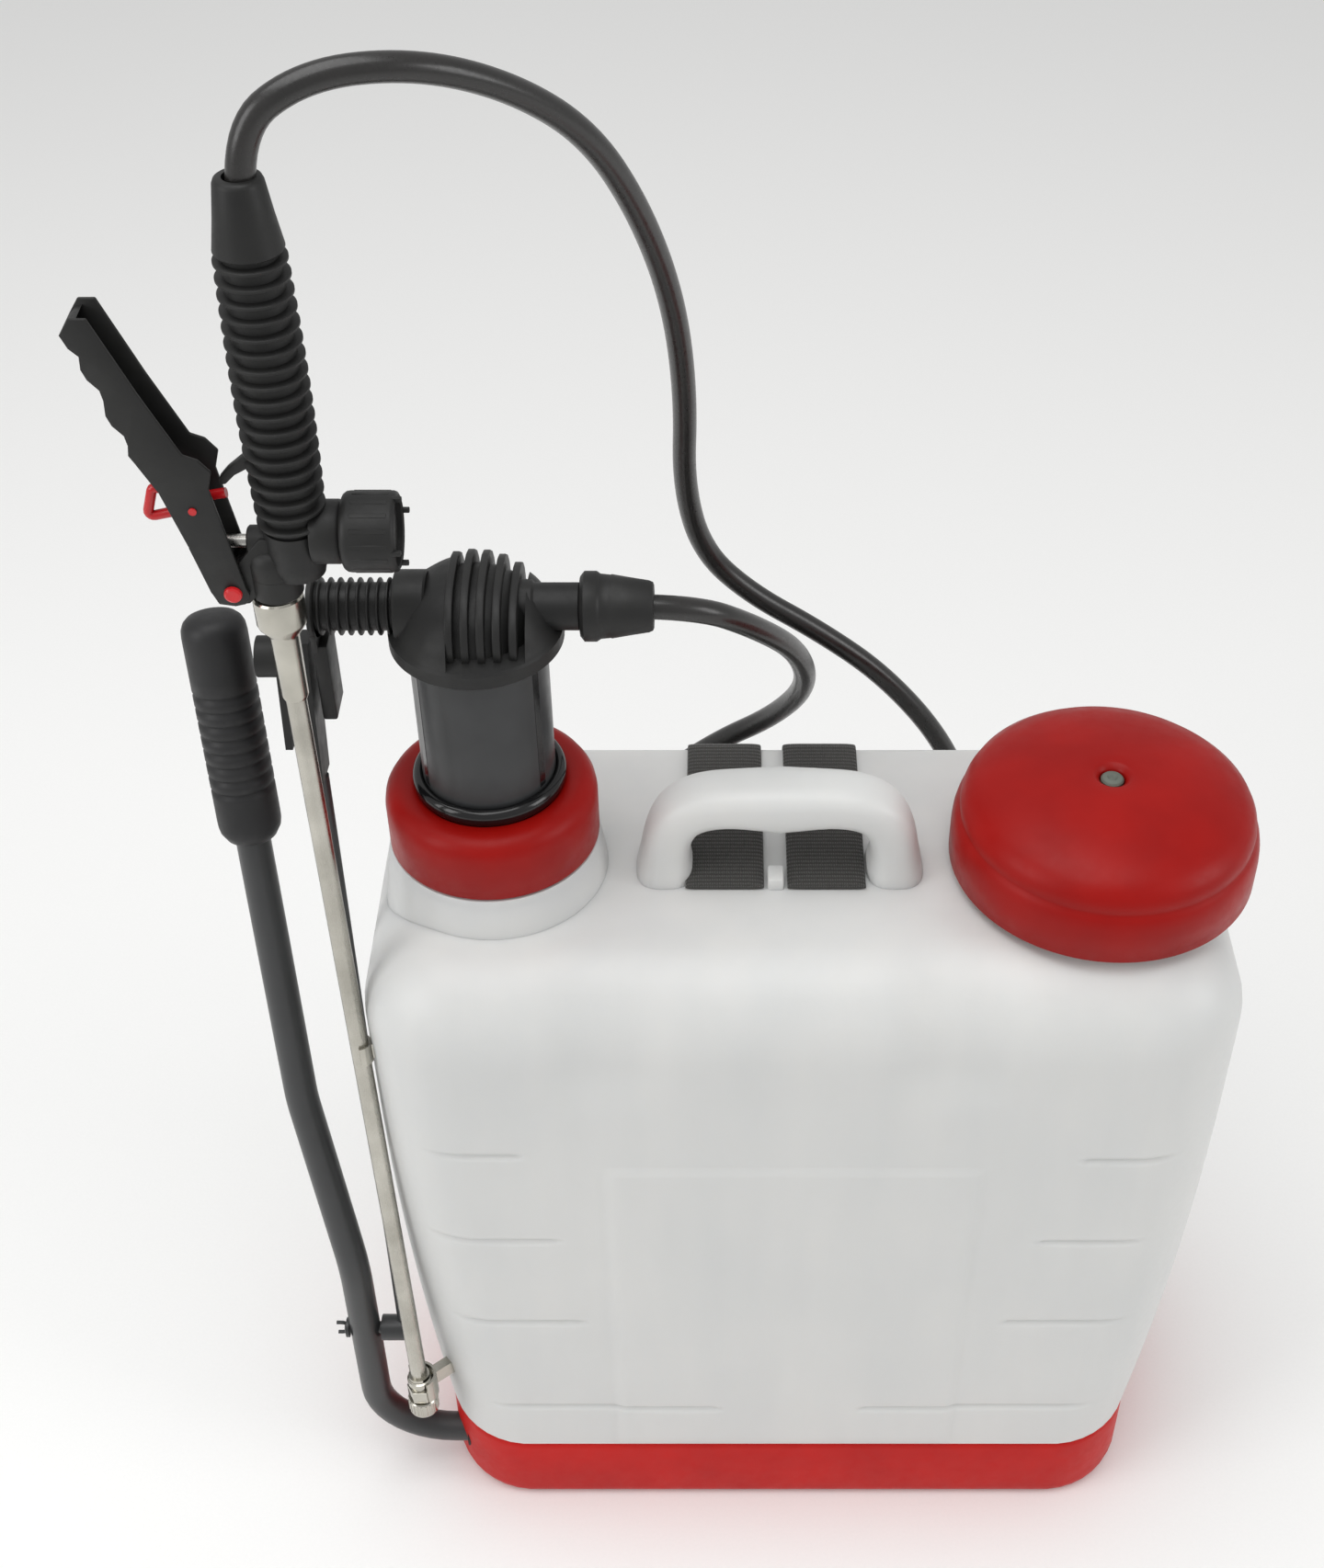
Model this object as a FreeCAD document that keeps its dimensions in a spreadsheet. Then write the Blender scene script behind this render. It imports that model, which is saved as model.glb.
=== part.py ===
import FreeCAD, Part
import math
import os
import re
import Sketcher

# Knapsack pump sprayer, in millimetres.
# Origin: centre of the base's underside. +X towards the fill lid, +Y towards the wearer's back, +Z up.
# The pump, its side arm, the lever and the lance are all on the -X side.

V = FreeCAD.Vector
doc = FreeCAD.newDocument("pump_sprayer")

# ---------------------------------------------------------------- driving dimensions

SIZES = {
    # tank and base
    "base_half_width": 175.8, "base_half_depth": 86.5, "base_height": 50, "base_wall": 3.5,
    "tank_half_width": 190, "widest_level": 290, "corner": 43, "tank_wall": 3,
    "tank_top": 378, "shoulder": 38, "rear_share": 0.35,
    # carrying handle
    "handle_middle": -10, "handle_span": 59, "handle_top": 426, "handle_depth": 26,
    # fill opening and lid
    "lid_offset": 130, "mouth_bore": 52, "mouth_outer": 57, "mouth_top": 408,
    "lid_radius": 66, "lid_low": 382, "lid_high": 425, "vent_radius": 4.9,
    # pump
    "pump_offset": -133, "neck_bore": 36.5, "neck_radius": 45, "thread_radius": 41.8,
    "nut_low": 398, "nut_high": 428, "thread_top": 414,
    "barrel_bore": 30.5, "barrel_outer": 34, "barrel_low": 70,
    "guide_radius": 31, "guide_top": 443, "running_gap": 0.06,
    "chamber_radius": 28, "chamber_wall": 3, "chamber_low": 152, "chamber_high": 500,
    "head_low": 502, "head_radius": 35, "outlet_level": 517,
    "arm_seat_radius": 15.5,
    "arm_end": -195, "arm_radius": 13,
    # lever, link and their pin
    "axle_back": -60, "axle_level": 24, "tube_radius": 7.5, "pin_level": 114, "pin_radius": 3,
    "link_side": -202, "link_top_level": 492, "link_rod_radius": 3,
    # lance
    "lance_back": -38, "grip_side": -190, "grip_low": 582, "grip_high": 692, "branch_level": 579,
    "trigger_side": -214, "trigger_level": 557, "trigger_half_width": 8,
    # straps
    "strap_width": 34, "strap_thick": 4, "strap_left_middle": -34, "strap_right_middle": 10,
    # hose
    "hose_radius": 5,
}

sheet = doc.addObject("Spreadsheet::Sheet", "sizes")
for row, (alias, number) in enumerate(SIZES.items(), start=1):
    sheet.set(f"A{row}", alias)
    sheet.set(f"B{row}", str(number))
    sheet.setAlias(f"B{row}", alias)
doc.recompute()


def cell(words):
    """Turn a sum written with the sheet's aliases into a FreeCAD expression."""
    return re.sub(r"[a-z_]+", lambda m: "sizes." + m[0] if m[0] in SIZES else m[0], str(words))


def value(words):
    return float(sheet.evalExpression(cell(words)))


# ---------------------------------------------------------------- building helpers

UPRIGHT = FreeCAD.Rotation()
ALONG_X = FreeCAD.Rotation(V(0, 1, 0), 90)        # a turned piece's own +Z points to +X
ALONG_MINUS_X = FreeCAD.Rotation(V(0, 1, 0), -90)
parts = []


def place(piece, at, turn):
    piece.Placement = FreeCAD.Placement(V(*[value(words) for words in at]), turn)
    for axis, words in zip("xyz", at):
        piece.setExpression(f"Placement.Base.{axis}", cell(words))


def new_body(label, at=(0, 0, 0), turn=UPRIGHT):
    body = doc.addObject("PartDesign::Body", "body_" + label)
    body.Label = label
    place(body, at, turn)
    parts.append(body)
    return body


def new_sketch(body, plane, lift=0):
    sketch = body.newObject("Sketcher::SketchObject", "outline")
    origin_plane = [f for f in body.Origin.OriginFeatures if f.Role == plane][0]
    sketch.AttachmentSupport = [(origin_plane, "")]
    sketch.MapMode = "FlatFace"
    sketch.AttachmentOffset = FreeCAD.Placement(V(0, 0, value(lift)), UPRIGHT)
    sketch.setExpression("AttachmentOffset.Base.z", cell(lift))
    return sketch


def fix_distance(sketch, kind, line, end, words):
    number = sketch.addConstraint(Sketcher.Constraint(kind, -1, 1, line, end, value(words)))
    sketch.setExpression(f"Constraints[{number}]", cell(words))


def polygon(sketch, corners):
    """Closed outline of straight sides through corners, each a pair of sums."""
    first = sketch.GeometryCount
    count = len(corners)
    spots = [V(value(across), value(up), 0) for across, up in corners]
    for k in range(count):
        sketch.addGeometry(Part.LineSegment(spots[k], spots[(k + 1) % count]), False)
    for k in range(count):
        after = first + (k + 1) % count
        sketch.addConstraint(Sketcher.Constraint("Coincident", first + k, 2, after, 1))
    for k, (across, up) in enumerate(corners):
        fix_distance(sketch, "DistanceX", first + k, 1, across)
        fix_distance(sketch, "DistanceY", first + k, 1, up)


def circle(sketch, across, up, radius):
    disc = Part.Circle(V(value(across), value(up), 0), V(0, 0, 1), value(radius))
    line = sketch.addGeometry(disc, False)
    fix_distance(sketch, "DistanceX", line, 3, across)
    fix_distance(sketch, "DistanceY", line, 3, up)
    number = sketch.addConstraint(Sketcher.Constraint("Radius", line, value(radius)))
    sketch.setExpression(f"Constraints[{number}]", cell(radius))


def rounded_rectangle(sketch, half_across, half_up, radius):
    """Closed outline centred on the sketch's origin, with four equal round corners."""
    a, b, r = value(half_across), value(half_up), value(radius)
    sides = [((a - r, -b), (r - a, -b)), ((-a, r - b), (-a, b - r)),
             ((r - a, b), (a - r, b)), ((a, b - r), (a, r - b))]
    centres = [(r - a, r - b, 180, 270), (r - a, b - r, 90, 180),
               (a - r, b - r, 0, 90), (a - r, r - b, 270, 360)]
    for (start, end), (x, y, low, high) in zip(sides, centres):
        sketch.addGeometry(Part.LineSegment(V(*start, 0), V(*end, 0)), False)
        ring = Part.Circle(V(x, y, 0), V(0, 0, 1), r)
        sketch.addGeometry(Part.ArcOfCircle(ring, math.radians(low), math.radians(high)), False)
    for k in range(4):
        sketch.addConstraint(Sketcher.Constraint("Tangent", 2 * k, 2, 2 * k + 1, 2))
        sketch.addConstraint(Sketcher.Constraint("Tangent", 2 * k + 1, 1, (2 * k + 2) % 8, 1))
    for k in (3, 5, 7):
        sketch.addConstraint(Sketcher.Constraint("Equal", 1, k))
    sketch.addConstraint(Sketcher.Constraint("Horizontal", 0))
    fix_distance(sketch, "DistanceY", 0, 1, f"-({half_up})")
    fix_distance(sketch, "DistanceX", 2, 1, f"-({half_across})")
    fix_distance(sketch, "DistanceY", 4, 1, half_up)
    fix_distance(sketch, "DistanceX", 6, 1, half_across)
    number = sketch.addConstraint(Sketcher.Constraint("Radius", 1, r))
    sketch.setExpression(f"Constraints[{number}]", cell(radius))


def turn_outline(body, corners, groove=False):
    """Revolve an outline of (radius, height) corners about the body's own Z axis."""
    sketch = new_sketch(body, "XZ_Plane")
    polygon(sketch, corners)
    feature = body.newObject("PartDesign::" + ("Groove" if groove else "Revolution"), "turn")
    feature.Profile = sketch
    feature.ReferenceAxis = (sketch, ["V_Axis"])
    feature.Angle = 360
    doc.recompute()


def turned(label, corners, at=(0, 0, 0), turn=UPRIGHT):
    body = new_body(label, at, turn)
    turn_outline(body, corners)
    return body


def pad(body, plane, draw, depth, lift=0, centred=False, cut=False):
    """Pad or pocket what draw(sketch) draws; a pocket goes the same way as a pad."""
    sketch = new_sketch(body, plane, lift)
    draw(sketch)
    feature = body.newObject("PartDesign::" + ("Pocket" if cut else "Pad"), "step")
    feature.Profile = sketch
    feature.Length = value(depth)
    feature.setExpression("Length", cell(depth))
    feature.Midplane = centred
    feature.Reversed = cut and not centred
    doc.recompute()


def box_outline(low_across, high_across, low_up, high_up):
    return [(low_across, low_up), (high_across, low_up), (high_across, high_up), (low_across, high_up)]


def tube_outline(inner, outer, low, high):
    return box_outline(inner, outer, low, high)


def ribbed_outline(inner, low, high, root_low, root_high, rib, count):
    """Outline of a sleeve with count square ribs, on a root that may taper."""
    corners = [(inner, low), (root_low, low)]
    for k in range(count):
        root = root_low + (root_high - root_low) * (k + 0.5) / count
        for reach, share in ((0, 0.25), (rib, 0.3), (rib, 0.7), (0, 0.75)):
            level = f"{low} + ({high} - ({low})) * {(k + share) / count:.5f}"
            corners.append((f"{root + reach:.3f}", level))
    return corners + [(root_high, high), (inner, high)]


def dome_levels(top, radius, steps):
    """(height, inset) pairs up a quarter-round shoulder that ends at top."""
    for k in range(steps + 1):
        angle = math.radians(90 * k / steps)
        yield (f"{top} - ({radius}) * {1 - math.sin(angle):.5f}",
               f"({radius}) * {1 - math.cos(angle):.5f}")


def rounded_path(corners, radii):
    """Wire of straight runs joined by tangent arcs, one radius at each inner corner."""
    edges = []
    start = corners[0]
    for k in range(1, len(corners) - 1):
        back = (corners[k - 1] - corners[k]).normalize()
        ahead = (corners[k + 1] - corners[k]).normalize()
        turn = math.pi - back.getAngle(ahead)
        reach = radii[k - 1] * math.tan(turn / 2)
        arc_start = corners[k] + back * reach
        arc_end = corners[k] + ahead * reach
        to_centre = (back + ahead).normalize()
        middle = corners[k] + to_centre * (radii[k - 1] / math.cos(turn / 2) - radii[k - 1])
        edges.append(Part.LineSegment(start, arc_start).toShape())
        edges.append(Part.Arc(arc_start, middle, arc_end).toShape())
        start = arc_end
    edges.append(Part.LineSegment(start, corners[-1]).toShape())
    return Part.Wire(edges)


def swept(path, radius):
    heading = path.Edges[0].tangentAt(path.Edges[0].FirstParameter)
    ring = Part.Wire(Part.Circle(path.Edges[0].Vertexes[0].Point, heading, radius).toShape())
    return path.makePipeShell([ring], True, False)


def shaped(label, shape):
    """A piece with a shape that sketches and primitives can't give."""
    piece = doc.addObject("Part::Feature", "shape_" + label)
    piece.Label = label
    piece.Shape = shape
    parts.append(piece)
    return piece


# ---------------------------------------------------------------- tank and base

def half_width_at(level):
    """Half width of the tank: it widens from the base to the widest level, then stays."""
    share = f"(min({level}; widest_level) - base_height) / (widest_level - base_height)"
    return (f"base_half_width + (tank_half_width - base_half_width)"
            f" * ({share}) * (2 - ({share}))")


def tank_sections(body, shrink, low, top):
    """Level outlines from the flat bottom, over the round shoulder, to the flat top."""
    levels = [(low, "0"), ("widest_level * 0.4", "0"), ("widest_level * 0.7", "0")]
    levels += list(dome_levels(top, f"shoulder - {shrink}", 5))
    sketches = []
    for level, inset in levels:
        sketch = new_sketch(body, "XY_Plane", level)
        sketch.setExpression("AttachmentOffset.Base.y", cell(f"(1 - rear_share) / 2 * {inset}"))
        rounded_rectangle(sketch, f"{half_width_at(level)} - {shrink} - {inset}",
                          f"base_half_depth - {shrink} - (1 + rear_share) / 2 * {inset}",
                          f"corner - {shrink} - {inset}")
        sketches.append(sketch)
    return sketches


def loft(body, kind, sketches):
    feature = body.newObject("PartDesign::" + kind, "loft")
    feature.Profile = sketches[0]
    feature.Sections = sketches[1:]
    feature.Ruled = True
    doc.recompute()


def make_tank():
    tank = new_body("tank_body")
    loft(tank, "AdditiveLoft", tank_sections(tank, "0", "base_height", "tank_top"))
    pad(tank, "XY_Plane", lambda s: circle(s, "pump_offset", 0, "neck_radius"),
        "nut_low - 0.3 - 352", lift=352)
    pad(tank, "XY_Plane", lambda s: circle(s, "pump_offset", 0, "thread_radius"),
        "thread_top - nut_low + 8", lift="nut_low - 8")
    pad(tank, "XY_Plane", lambda s: circle(s, "lid_offset", 0, "mouth_outer"),
        "mouth_top - 344", lift=344)
    loft(tank, "SubtractiveLoft",
         tank_sections(tank, "tank_wall", "base_height + tank_wall", "tank_top - tank_wall"))
    pad(tank, "XY_Plane", lambda s: circle(s, "pump_offset", 0, "neck_bore"), 80, lift=340, cut=True)
    pad(tank, "XY_Plane", lambda s: circle(s, "lid_offset", 0, "mouth_bore"), 80, lift=335, cut=True)

    def handle_outline(sketch):
        span, top = "handle_span", "handle_top"
        rise = [(1.0, 50), (1.0, 24), (0.9, 12), (0.74, 4), (0.52, 0)]
        right = [(f"{span} * {w}", f"{top} - {d}") for w, d in rise]
        left = [(f"-({across})", up) for across, up in reversed(right)]
        inner_rise = [(0.72, 50), (0.72, 30), (0.6, 22), (0.3, 20)]
        inner_left = [(f"-{span} * {w}", f"{top} - {d}") for w, d in inner_rise]
        inner_right = [(f"{span} * {w}", f"{top} - {d}") for w, d in reversed(inner_rise)]
        corners = right + left + inner_left + [("0", f"{top} - 22")] + inner_right
        polygon(sketch, [(f"handle_middle + {across}", up) for across, up in corners])

    pad(tank, "XZ_Plane", handle_outline, "handle_depth", lift=2, centred=True)
    pad(tank, "XZ_Plane", lambda s: polygon(s, box_outline(-15.5, -8.5, 370, 384)), 10, lift=8)
    return tank


def make_base():
    base = new_body("base")
    pad(base, "XY_Plane",
        lambda s: rounded_rectangle(s, "base_half_width", "base_half_depth", "corner"), "base_height")
    pad(base, "XY_Plane",
        lambda s: rounded_rectangle(s, "base_half_width - base_wall", "base_half_depth - base_wall",
                                    "corner - base_wall"),
        "base_height", lift="base_wall", cut=True)
    long_rib = box_outline(-110, "base_half_width - base_wall", -2, 2)
    pad(base, "XY_Plane", lambda s: polygon(s, long_rib), "base_height - 1", lift=1)
    for across in (-60, 30, 120):
        rib = box_outline(across - 2, across + 2, "base_wall - base_half_depth",
                          "base_half_depth - base_wall")
        pad(base, "XY_Plane", lambda s: polygon(s, rib), "base_height - 1", lift=1)
    block = box_outline(-162, -126, "axle_back - 12", "axle_back + 14")
    pad(base, "XY_Plane", lambda s: polygon(s, block), "base_height - 1", lift=1)
    pad(base, "YZ_Plane", lambda s: circle(s, "axle_back", "axle_level", 10), 60, lift=-178, cut=True)
    return base


tank = make_tank()
make_base()
turned("axle_bush", [("tube_radius + 0.05", 0), (9.95, 0), (9.95, 42), ("tube_radius + 0.05", 42)],
       at=(-168, "axle_back", "axle_level"), turn=ALONG_X)

# ---------------------------------------------------------------- fill opening and lid

turned("filler_strainer",
       [("mouth_bore - 2", "mouth_top"), ("mouth_outer", "mouth_top"), ("mouth_outer", "mouth_top + 2"),
        ("mouth_bore - 3.5", "mouth_top + 2"), ("mouth_bore - 5.5", 322), (0, 322), (0, 320),
        ("mouth_bore - 4", 320)],
       at=("lid_offset", 0, 0))
turned("fill_lid",
       [("vent_radius + 0.1", "mouth_top + 4"), ("mouth_outer", "mouth_top + 4"),
        ("lid_radius - 5", "mouth_top"), ("lid_radius - 5", "lid_low"), ("lid_radius", "lid_low"),
        ("lid_radius", "lid_high - 16"), ("lid_radius - 2.5", "lid_high - 12"),
        ("lid_radius - 11", "lid_high - 6.5"), ("lid_radius * 0.6", "lid_high - 2.5"),
        ("lid_radius * 0.3", "lid_high - 0.5"), ("vent_radius + 3", "lid_high"),
        ("vent_radius + 0.1", "lid_high - 1.5")],
       at=("lid_offset", 0, 0))
turned("lid_gasket", tube_outline("mouth_bore - 1", "mouth_outer - 0.5", "mouth_top + 2.1",
                                  "mouth_top + 4"), at=("lid_offset", 0, 0))
turned("lid_vent_valve",
       [(1.2, "mouth_top - 2"), (9, "mouth_top - 2"), (9, "mouth_top + 4"),
        ("vent_radius", "mouth_top + 4"), ("vent_radius", "lid_high - 2"),
        (3.2, "lid_high - 1.2"), (1.2, "lid_high - 1.2")],
       at=("lid_offset", 0, 0))

# ---------------------------------------------------------------- pump, fixed pieces

PUMP = ("pump_offset", 0, 0)
turned("neck_gasket", tube_outline("neck_bore", "thread_radius - 0.3", "thread_top",
                                   "thread_top + 2"), at=PUMP)
turned("pump_barrel",
       [("barrel_bore", "barrel_low"), ("barrel_outer", "barrel_low"),
        ("barrel_outer", "thread_top + 2"), ("thread_radius - 0.3", "thread_top + 2"),
        ("thread_radius - 0.3", "thread_top + 5"), ("barrel_bore", "thread_top + 5")], at=PUMP)
turned("pump_guide",
       [("chamber_radius + running_gap", "thread_top + 5"), ("thread_radius - 2", "thread_top + 5"),
        ("thread_radius - 2", "thread_top + 8"), ("guide_radius", "thread_top + 8"),
        ("guide_radius", "guide_top - 1"), ("guide_radius - 1", "guide_top"),
        ("chamber_radius + running_gap", "guide_top")], at=PUMP)
turned("pump_ring_nut",
       [("thread_radius + 0.3", "nut_low"), ("neck_radius", "nut_low"),
        ("neck_radius", "nut_high - 6"), ("neck_radius - 2", "nut_high - 2"),
        ("neck_radius - 6", "nut_high"), ("guide_radius + 0.3", "nut_high"),
        ("guide_radius + 0.3", "thread_top + 8"), ("thread_radius + 0.3", "thread_top + 8")],
       at=PUMP)
turned("foot_valve_seat",
       [(5, "barrel_low - 12"), ("barrel_outer", "barrel_low - 12"), ("barrel_outer", "barrel_low"),
        ("barrel_bore - 0.1", "barrel_low"), ("barrel_bore - 0.1", "barrel_low + 6"),
        (5, "barrel_low + 6")], at=PUMP)
turned("suction_screen",
       [(0, "base_height + tank_wall + 0.5"), (20, "base_height + tank_wall + 0.5"),
        (20, "barrel_low - 12"), (18, "barrel_low - 12"), (18, "base_height + tank_wall + 2"),
        (0, "base_height + tank_wall + 2")], at=PUMP)

# ---------------------------------------------------------------- pump, the part that moves

turned("pressure_chamber",
       tube_outline("chamber_radius - chamber_wall", "chamber_radius", "chamber_low", "chamber_high"),
       at=PUMP)
turned("head_gasket", tube_outline("chamber_radius - 4", "chamber_radius", "chamber_high",
                                   "head_low"), at=PUMP)
turned("piston",
       [(4.5, "chamber_low - 10"), (19.9, "chamber_low - 10"), (19.9, "chamber_low - 4"),
        (29, "chamber_low - 4"), (29, "chamber_low"), (4.5, "chamber_low")], at=PUMP)
turned("piston_cup", tube_outline(20, "barrel_bore - running_gap", "chamber_low - 9.5",
                                  "chamber_low - 4.1"), at=PUMP)


def ball(label, radius, seat, level):
    """A ball resting on the rim of a hole of radius seat."""
    piece = doc.addObject("Part::Sphere", "ball_" + label)
    piece.Label = label
    piece.Radius = radius
    place(piece, ("pump_offset", 0, f"{level} + {math.sqrt(radius ** 2 - seat ** 2) + 0.1:.4f}"),
          UPRIGHT)
    parts.append(piece)


ball("foot_valve_ball", 7, 5, "barrel_low + 6")
ball("piston_valve_ball", 6, 4.5, "chamber_low")
turned("delivery_tube", tube_outline(3, 4.5, "chamber_low + 8", "head_low + 4"),
       at=("pump_offset", 13, 0))


def make_pump_head():
    """Finned dome over the chamber, hollow below, with a seat for the arm and an outlet for the hose."""
    head = new_body("pump_head", PUMP)
    turn_outline(head, [(0, "head_low"), ("head_radius", "head_low"), ("head_radius", "head_low + 7"),
                        ("head_radius - 3", "head_low + 10"), (27, "head_low + 13"),
                        (24, "head_low + 18"), (19.5, "head_low + 23"), (13, "head_low + 26.5"),
                        (0, "head_low + 28")])
    pad(head, "YZ_Plane", lambda s: circle(s, 0, "outlet_level", 9.5), 21, lift=21)
    fin = [(-26, "head_low + 5"), (26, "head_low + 5"), (27, "head_low + 20"), (20, "head_low + 30"),
           (10, "head_low + 35"), (-10, "head_low + 35"), (-20, "head_low + 30"),
           (-27, "head_low + 20")]
    for k in range(6):
        pad(head, "YZ_Plane", lambda s: polygon(s, fin), 3.2, lift=-9.1 + 5.6 * k)
    pad(head, "XY_Plane", lambda s: circle(s, 0, 0, "chamber_radius - 6"), 14,
        lift="head_low - 2", cut=True)
    pad(head, "YZ_Plane", lambda s: circle(s, 0, "outlet_level", 5), 80, lift=-30, cut=True)
    pad(head, "YZ_Plane", lambda s: circle(s, 0, "outlet_level", "arm_seat_radius"), 22, lift=-40,
        cut=True)


make_pump_head()
turned("arm_union", [(5, 0), (14.7, 0), (14.7, 12), (13.7, 13), (5, 13)],
       at=("pump_offset - 18", 0, "outlet_level"), turn=ALONG_MINUS_X)
turned("ribbed_arm", ribbed_outline("0", "0", "31", 11, 11, 2, 6),
       at=("pump_offset - 31", 0, "outlet_level"), turn=ALONG_MINUS_X)


def make_arm_elbow():
    elbow = new_body("arm_elbow")
    pad(elbow, "YZ_Plane", lambda s: circle(s, 0, "outlet_level", "arm_radius"), 2.6,
        lift="arm_end - 2.6")
    plate = box_outline(-9, 9, "link_top_level - 26", "outlet_level - arm_radius - 0.3")
    pad(elbow, "YZ_Plane", lambda s: polygon(s, plate), 6, lift="arm_end - 2.6")
    neck = box_outline(-9, 9, "outlet_level - arm_radius - 2", "outlet_level")
    pad(elbow, "YZ_Plane", lambda s: polygon(s, neck), 2.6, lift="arm_end - 2.6")


make_arm_elbow()
turned("pump_hose_nut",
       [("hose_radius + 0.1", 0), (12.5, 0), (14, 2), (14, 6), (13, 8), (10.5, 27), (9.5, 29),
        ("hose_radius + 0.1", 29)],
       at=("pump_offset + 42", 0, "outlet_level"), turn=ALONG_X)

# ---------------------------------------------------------------- lever

LEVER_ROUTE = [V(-114, -60, 24), V(-213.6, -60, 24), V(-212.8, -60, 165), V(-229, -36, 262),
               V(-243.2, 18.5, 485)]
LEVER_RADII = [38, 90, 120]


def make_lever_tube():
    radius = value("tube_radius")
    path = rounded_path(LEVER_ROUTE, LEVER_RADII)
    tube = swept(path, radius).cut(swept(path, radius - 1.5))
    pin_hole = Part.makeCylinder(value("pin_radius"), 40,
                                 V(-235, value("axle_back"), value("pin_level")), V(1, 0, 0))
    return shaped("lever_tube", tube.cut(pin_hole))


make_lever_tube()
lean = (LEVER_ROUTE[-1] - LEVER_ROUTE[-2]).normalize()
grip_low = LEVER_ROUTE[-1] - lean * 91
turned("lever_grip",
       [("tube_radius + 0.05", 0), (10.5, 0), (13, 4), (13.5, 8), (13.5, 22)]
       + [(13.5 if k % 2 else 12.8, 22 + 3.4 * k) for k in range(1, 16)]
       + [(13.5, 76), (13.5, 92), (12.6, 98), (9, 102.5), (0, 104), (0, 92),
          ("tube_radius + 0.05", 92)],
       at=tuple(f"{c:.3f}" for c in grip_low), turn=FreeCAD.Rotation(V(0, 0, 1), lean))
turned("axle_retainer", tube_outline("tube_radius + 0.02", 12, 0, 3),
       at=(-122.5, "axle_back", "axle_level"), turn=ALONG_X)
turned("link_pin",
       [(0, 0), (5.5, 0), (5.5, 2), ("pin_radius - 0.02", 2), ("pin_radius - 0.02", 35.3), (0, 35.3)],
       at=("link_side + 14.1", "axle_back", "pin_level"), turn=ALONG_MINUS_X)


def make_pin_clip():
    clip = new_body("link_pin_clip", ("link_side - 20.4", "axle_back", "pin_level"))
    pad(clip, "YZ_Plane", lambda s: (circle(s, 0, 0, 5), circle(s, 0, 0, "pin_radius")), 1.6)
    for low in (-4.6, 3.2):
        prong = box_outline(-4.6, 1.6, low, low + 1.4)
        pad(clip, "XZ_Plane", lambda s: polygon(s, prong), 1.6, centred=True)


make_pin_clip()

# ---------------------------------------------------------------- link

link_back = value("axle_back")
link_rise = value("link_top_level - pin_level")
link_length = math.hypot(link_back, link_rise)
LINK = ("link_side", "axle_back", "pin_level")
LINK_LEAN = FreeCAD.Rotation(V(1, 0, 0), -math.degrees(math.atan2(-link_back, link_rise)))


def make_link_rod():
    """A broad eye on the lever's pin, and a rod that leans outwards to the link's head."""
    eye = Part.makeCylinder(6.5, 14, V(-2.5, 0, 0), V(1, 0, 0))
    foot = V(8.5, 0, 0)
    run = V(0, 0, link_length - 56.5) - foot
    rod = Part.makeCylinder(value("link_rod_radius"), run.Length, foot, run)
    bore = Part.makeCylinder(value("pin_radius + 0.05"), 20, V(-5, 0, 0), V(1, 0, 0))
    place(shaped("link_rod", eye.fuse(rod).cut(bore)), LINK, LINK_LEAN)


def make_link_head():
    """The plate, side cheek and hub at the link's top; its pivot is the one left open."""
    head = new_body("link_head", LINK, LINK_LEAN)
    plate = [(-8, link_length - 56), (8, link_length - 56), (10, link_length), (6, link_length + 9),
             (-6, link_length + 9), (-10, link_length)]
    pad(head, "YZ_Plane", lambda s: polygon(s, plate), 6, lift=-3.9)
    pad(head, "YZ_Plane", lambda s: circle(s, 0, link_length, 8.5), 18, lift=-20)
    cheek = box_outline(-7, 7, link_length - 40, link_length)
    pad(head, "YZ_Plane", lambda s: polygon(s, cheek), 3, lift=-12)


make_link_rod()
make_link_head()

# ---------------------------------------------------------------- lance

lance_top = V(-200, value("lance_back"), 551)
lance_low = V(-184, -84, 78)
lance_run = (lance_top - lance_low).normalize()
LANCE_LEAN = FreeCAD.Rotation(V(0, 0, 1), lance_run)
lance_length = (lance_top - lance_low).Length


def along_lance(distance):
    """A place on the lance, measured from the nozzle's tip."""
    return tuple(f"{c:.3f}" for c in lance_low + lance_run * distance)


turned("lance_tube", tube_outline(2.8, 4, 16, lance_length - 2), at=along_lance(0), turn=LANCE_LEAN)
turned("nozzle_body",
       [(2, 7), (4.7, 7), (4.7, 12), (7, 12), (7, 20), (5.5, 22), (5.5, 28), (4.05, 28), (4.05, 16),
        (2, 16)],
       at=along_lance(0), turn=LANCE_LEAN)
turned("nozzle_cap",
       [(0.8, 0), (5, 0), (7.5, 3), (7.5, 11.6), (5, 11.6), (5, 4), (0.8, 4)],
       at=along_lance(0), turn=LANCE_LEAN)
turned("swirl_disc", tube_outline(1.2, 4.8, 4.2, 6.5), at=along_lance(0), turn=LANCE_LEAN)
turned("lance_nut", [(4.05, -46), (5.2, -44), (5.6, -17), (9.5, -12), (9.5, 0), (4.05, 0)],
       at=along_lance(lance_length), turn=LANCE_LEAN)


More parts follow.
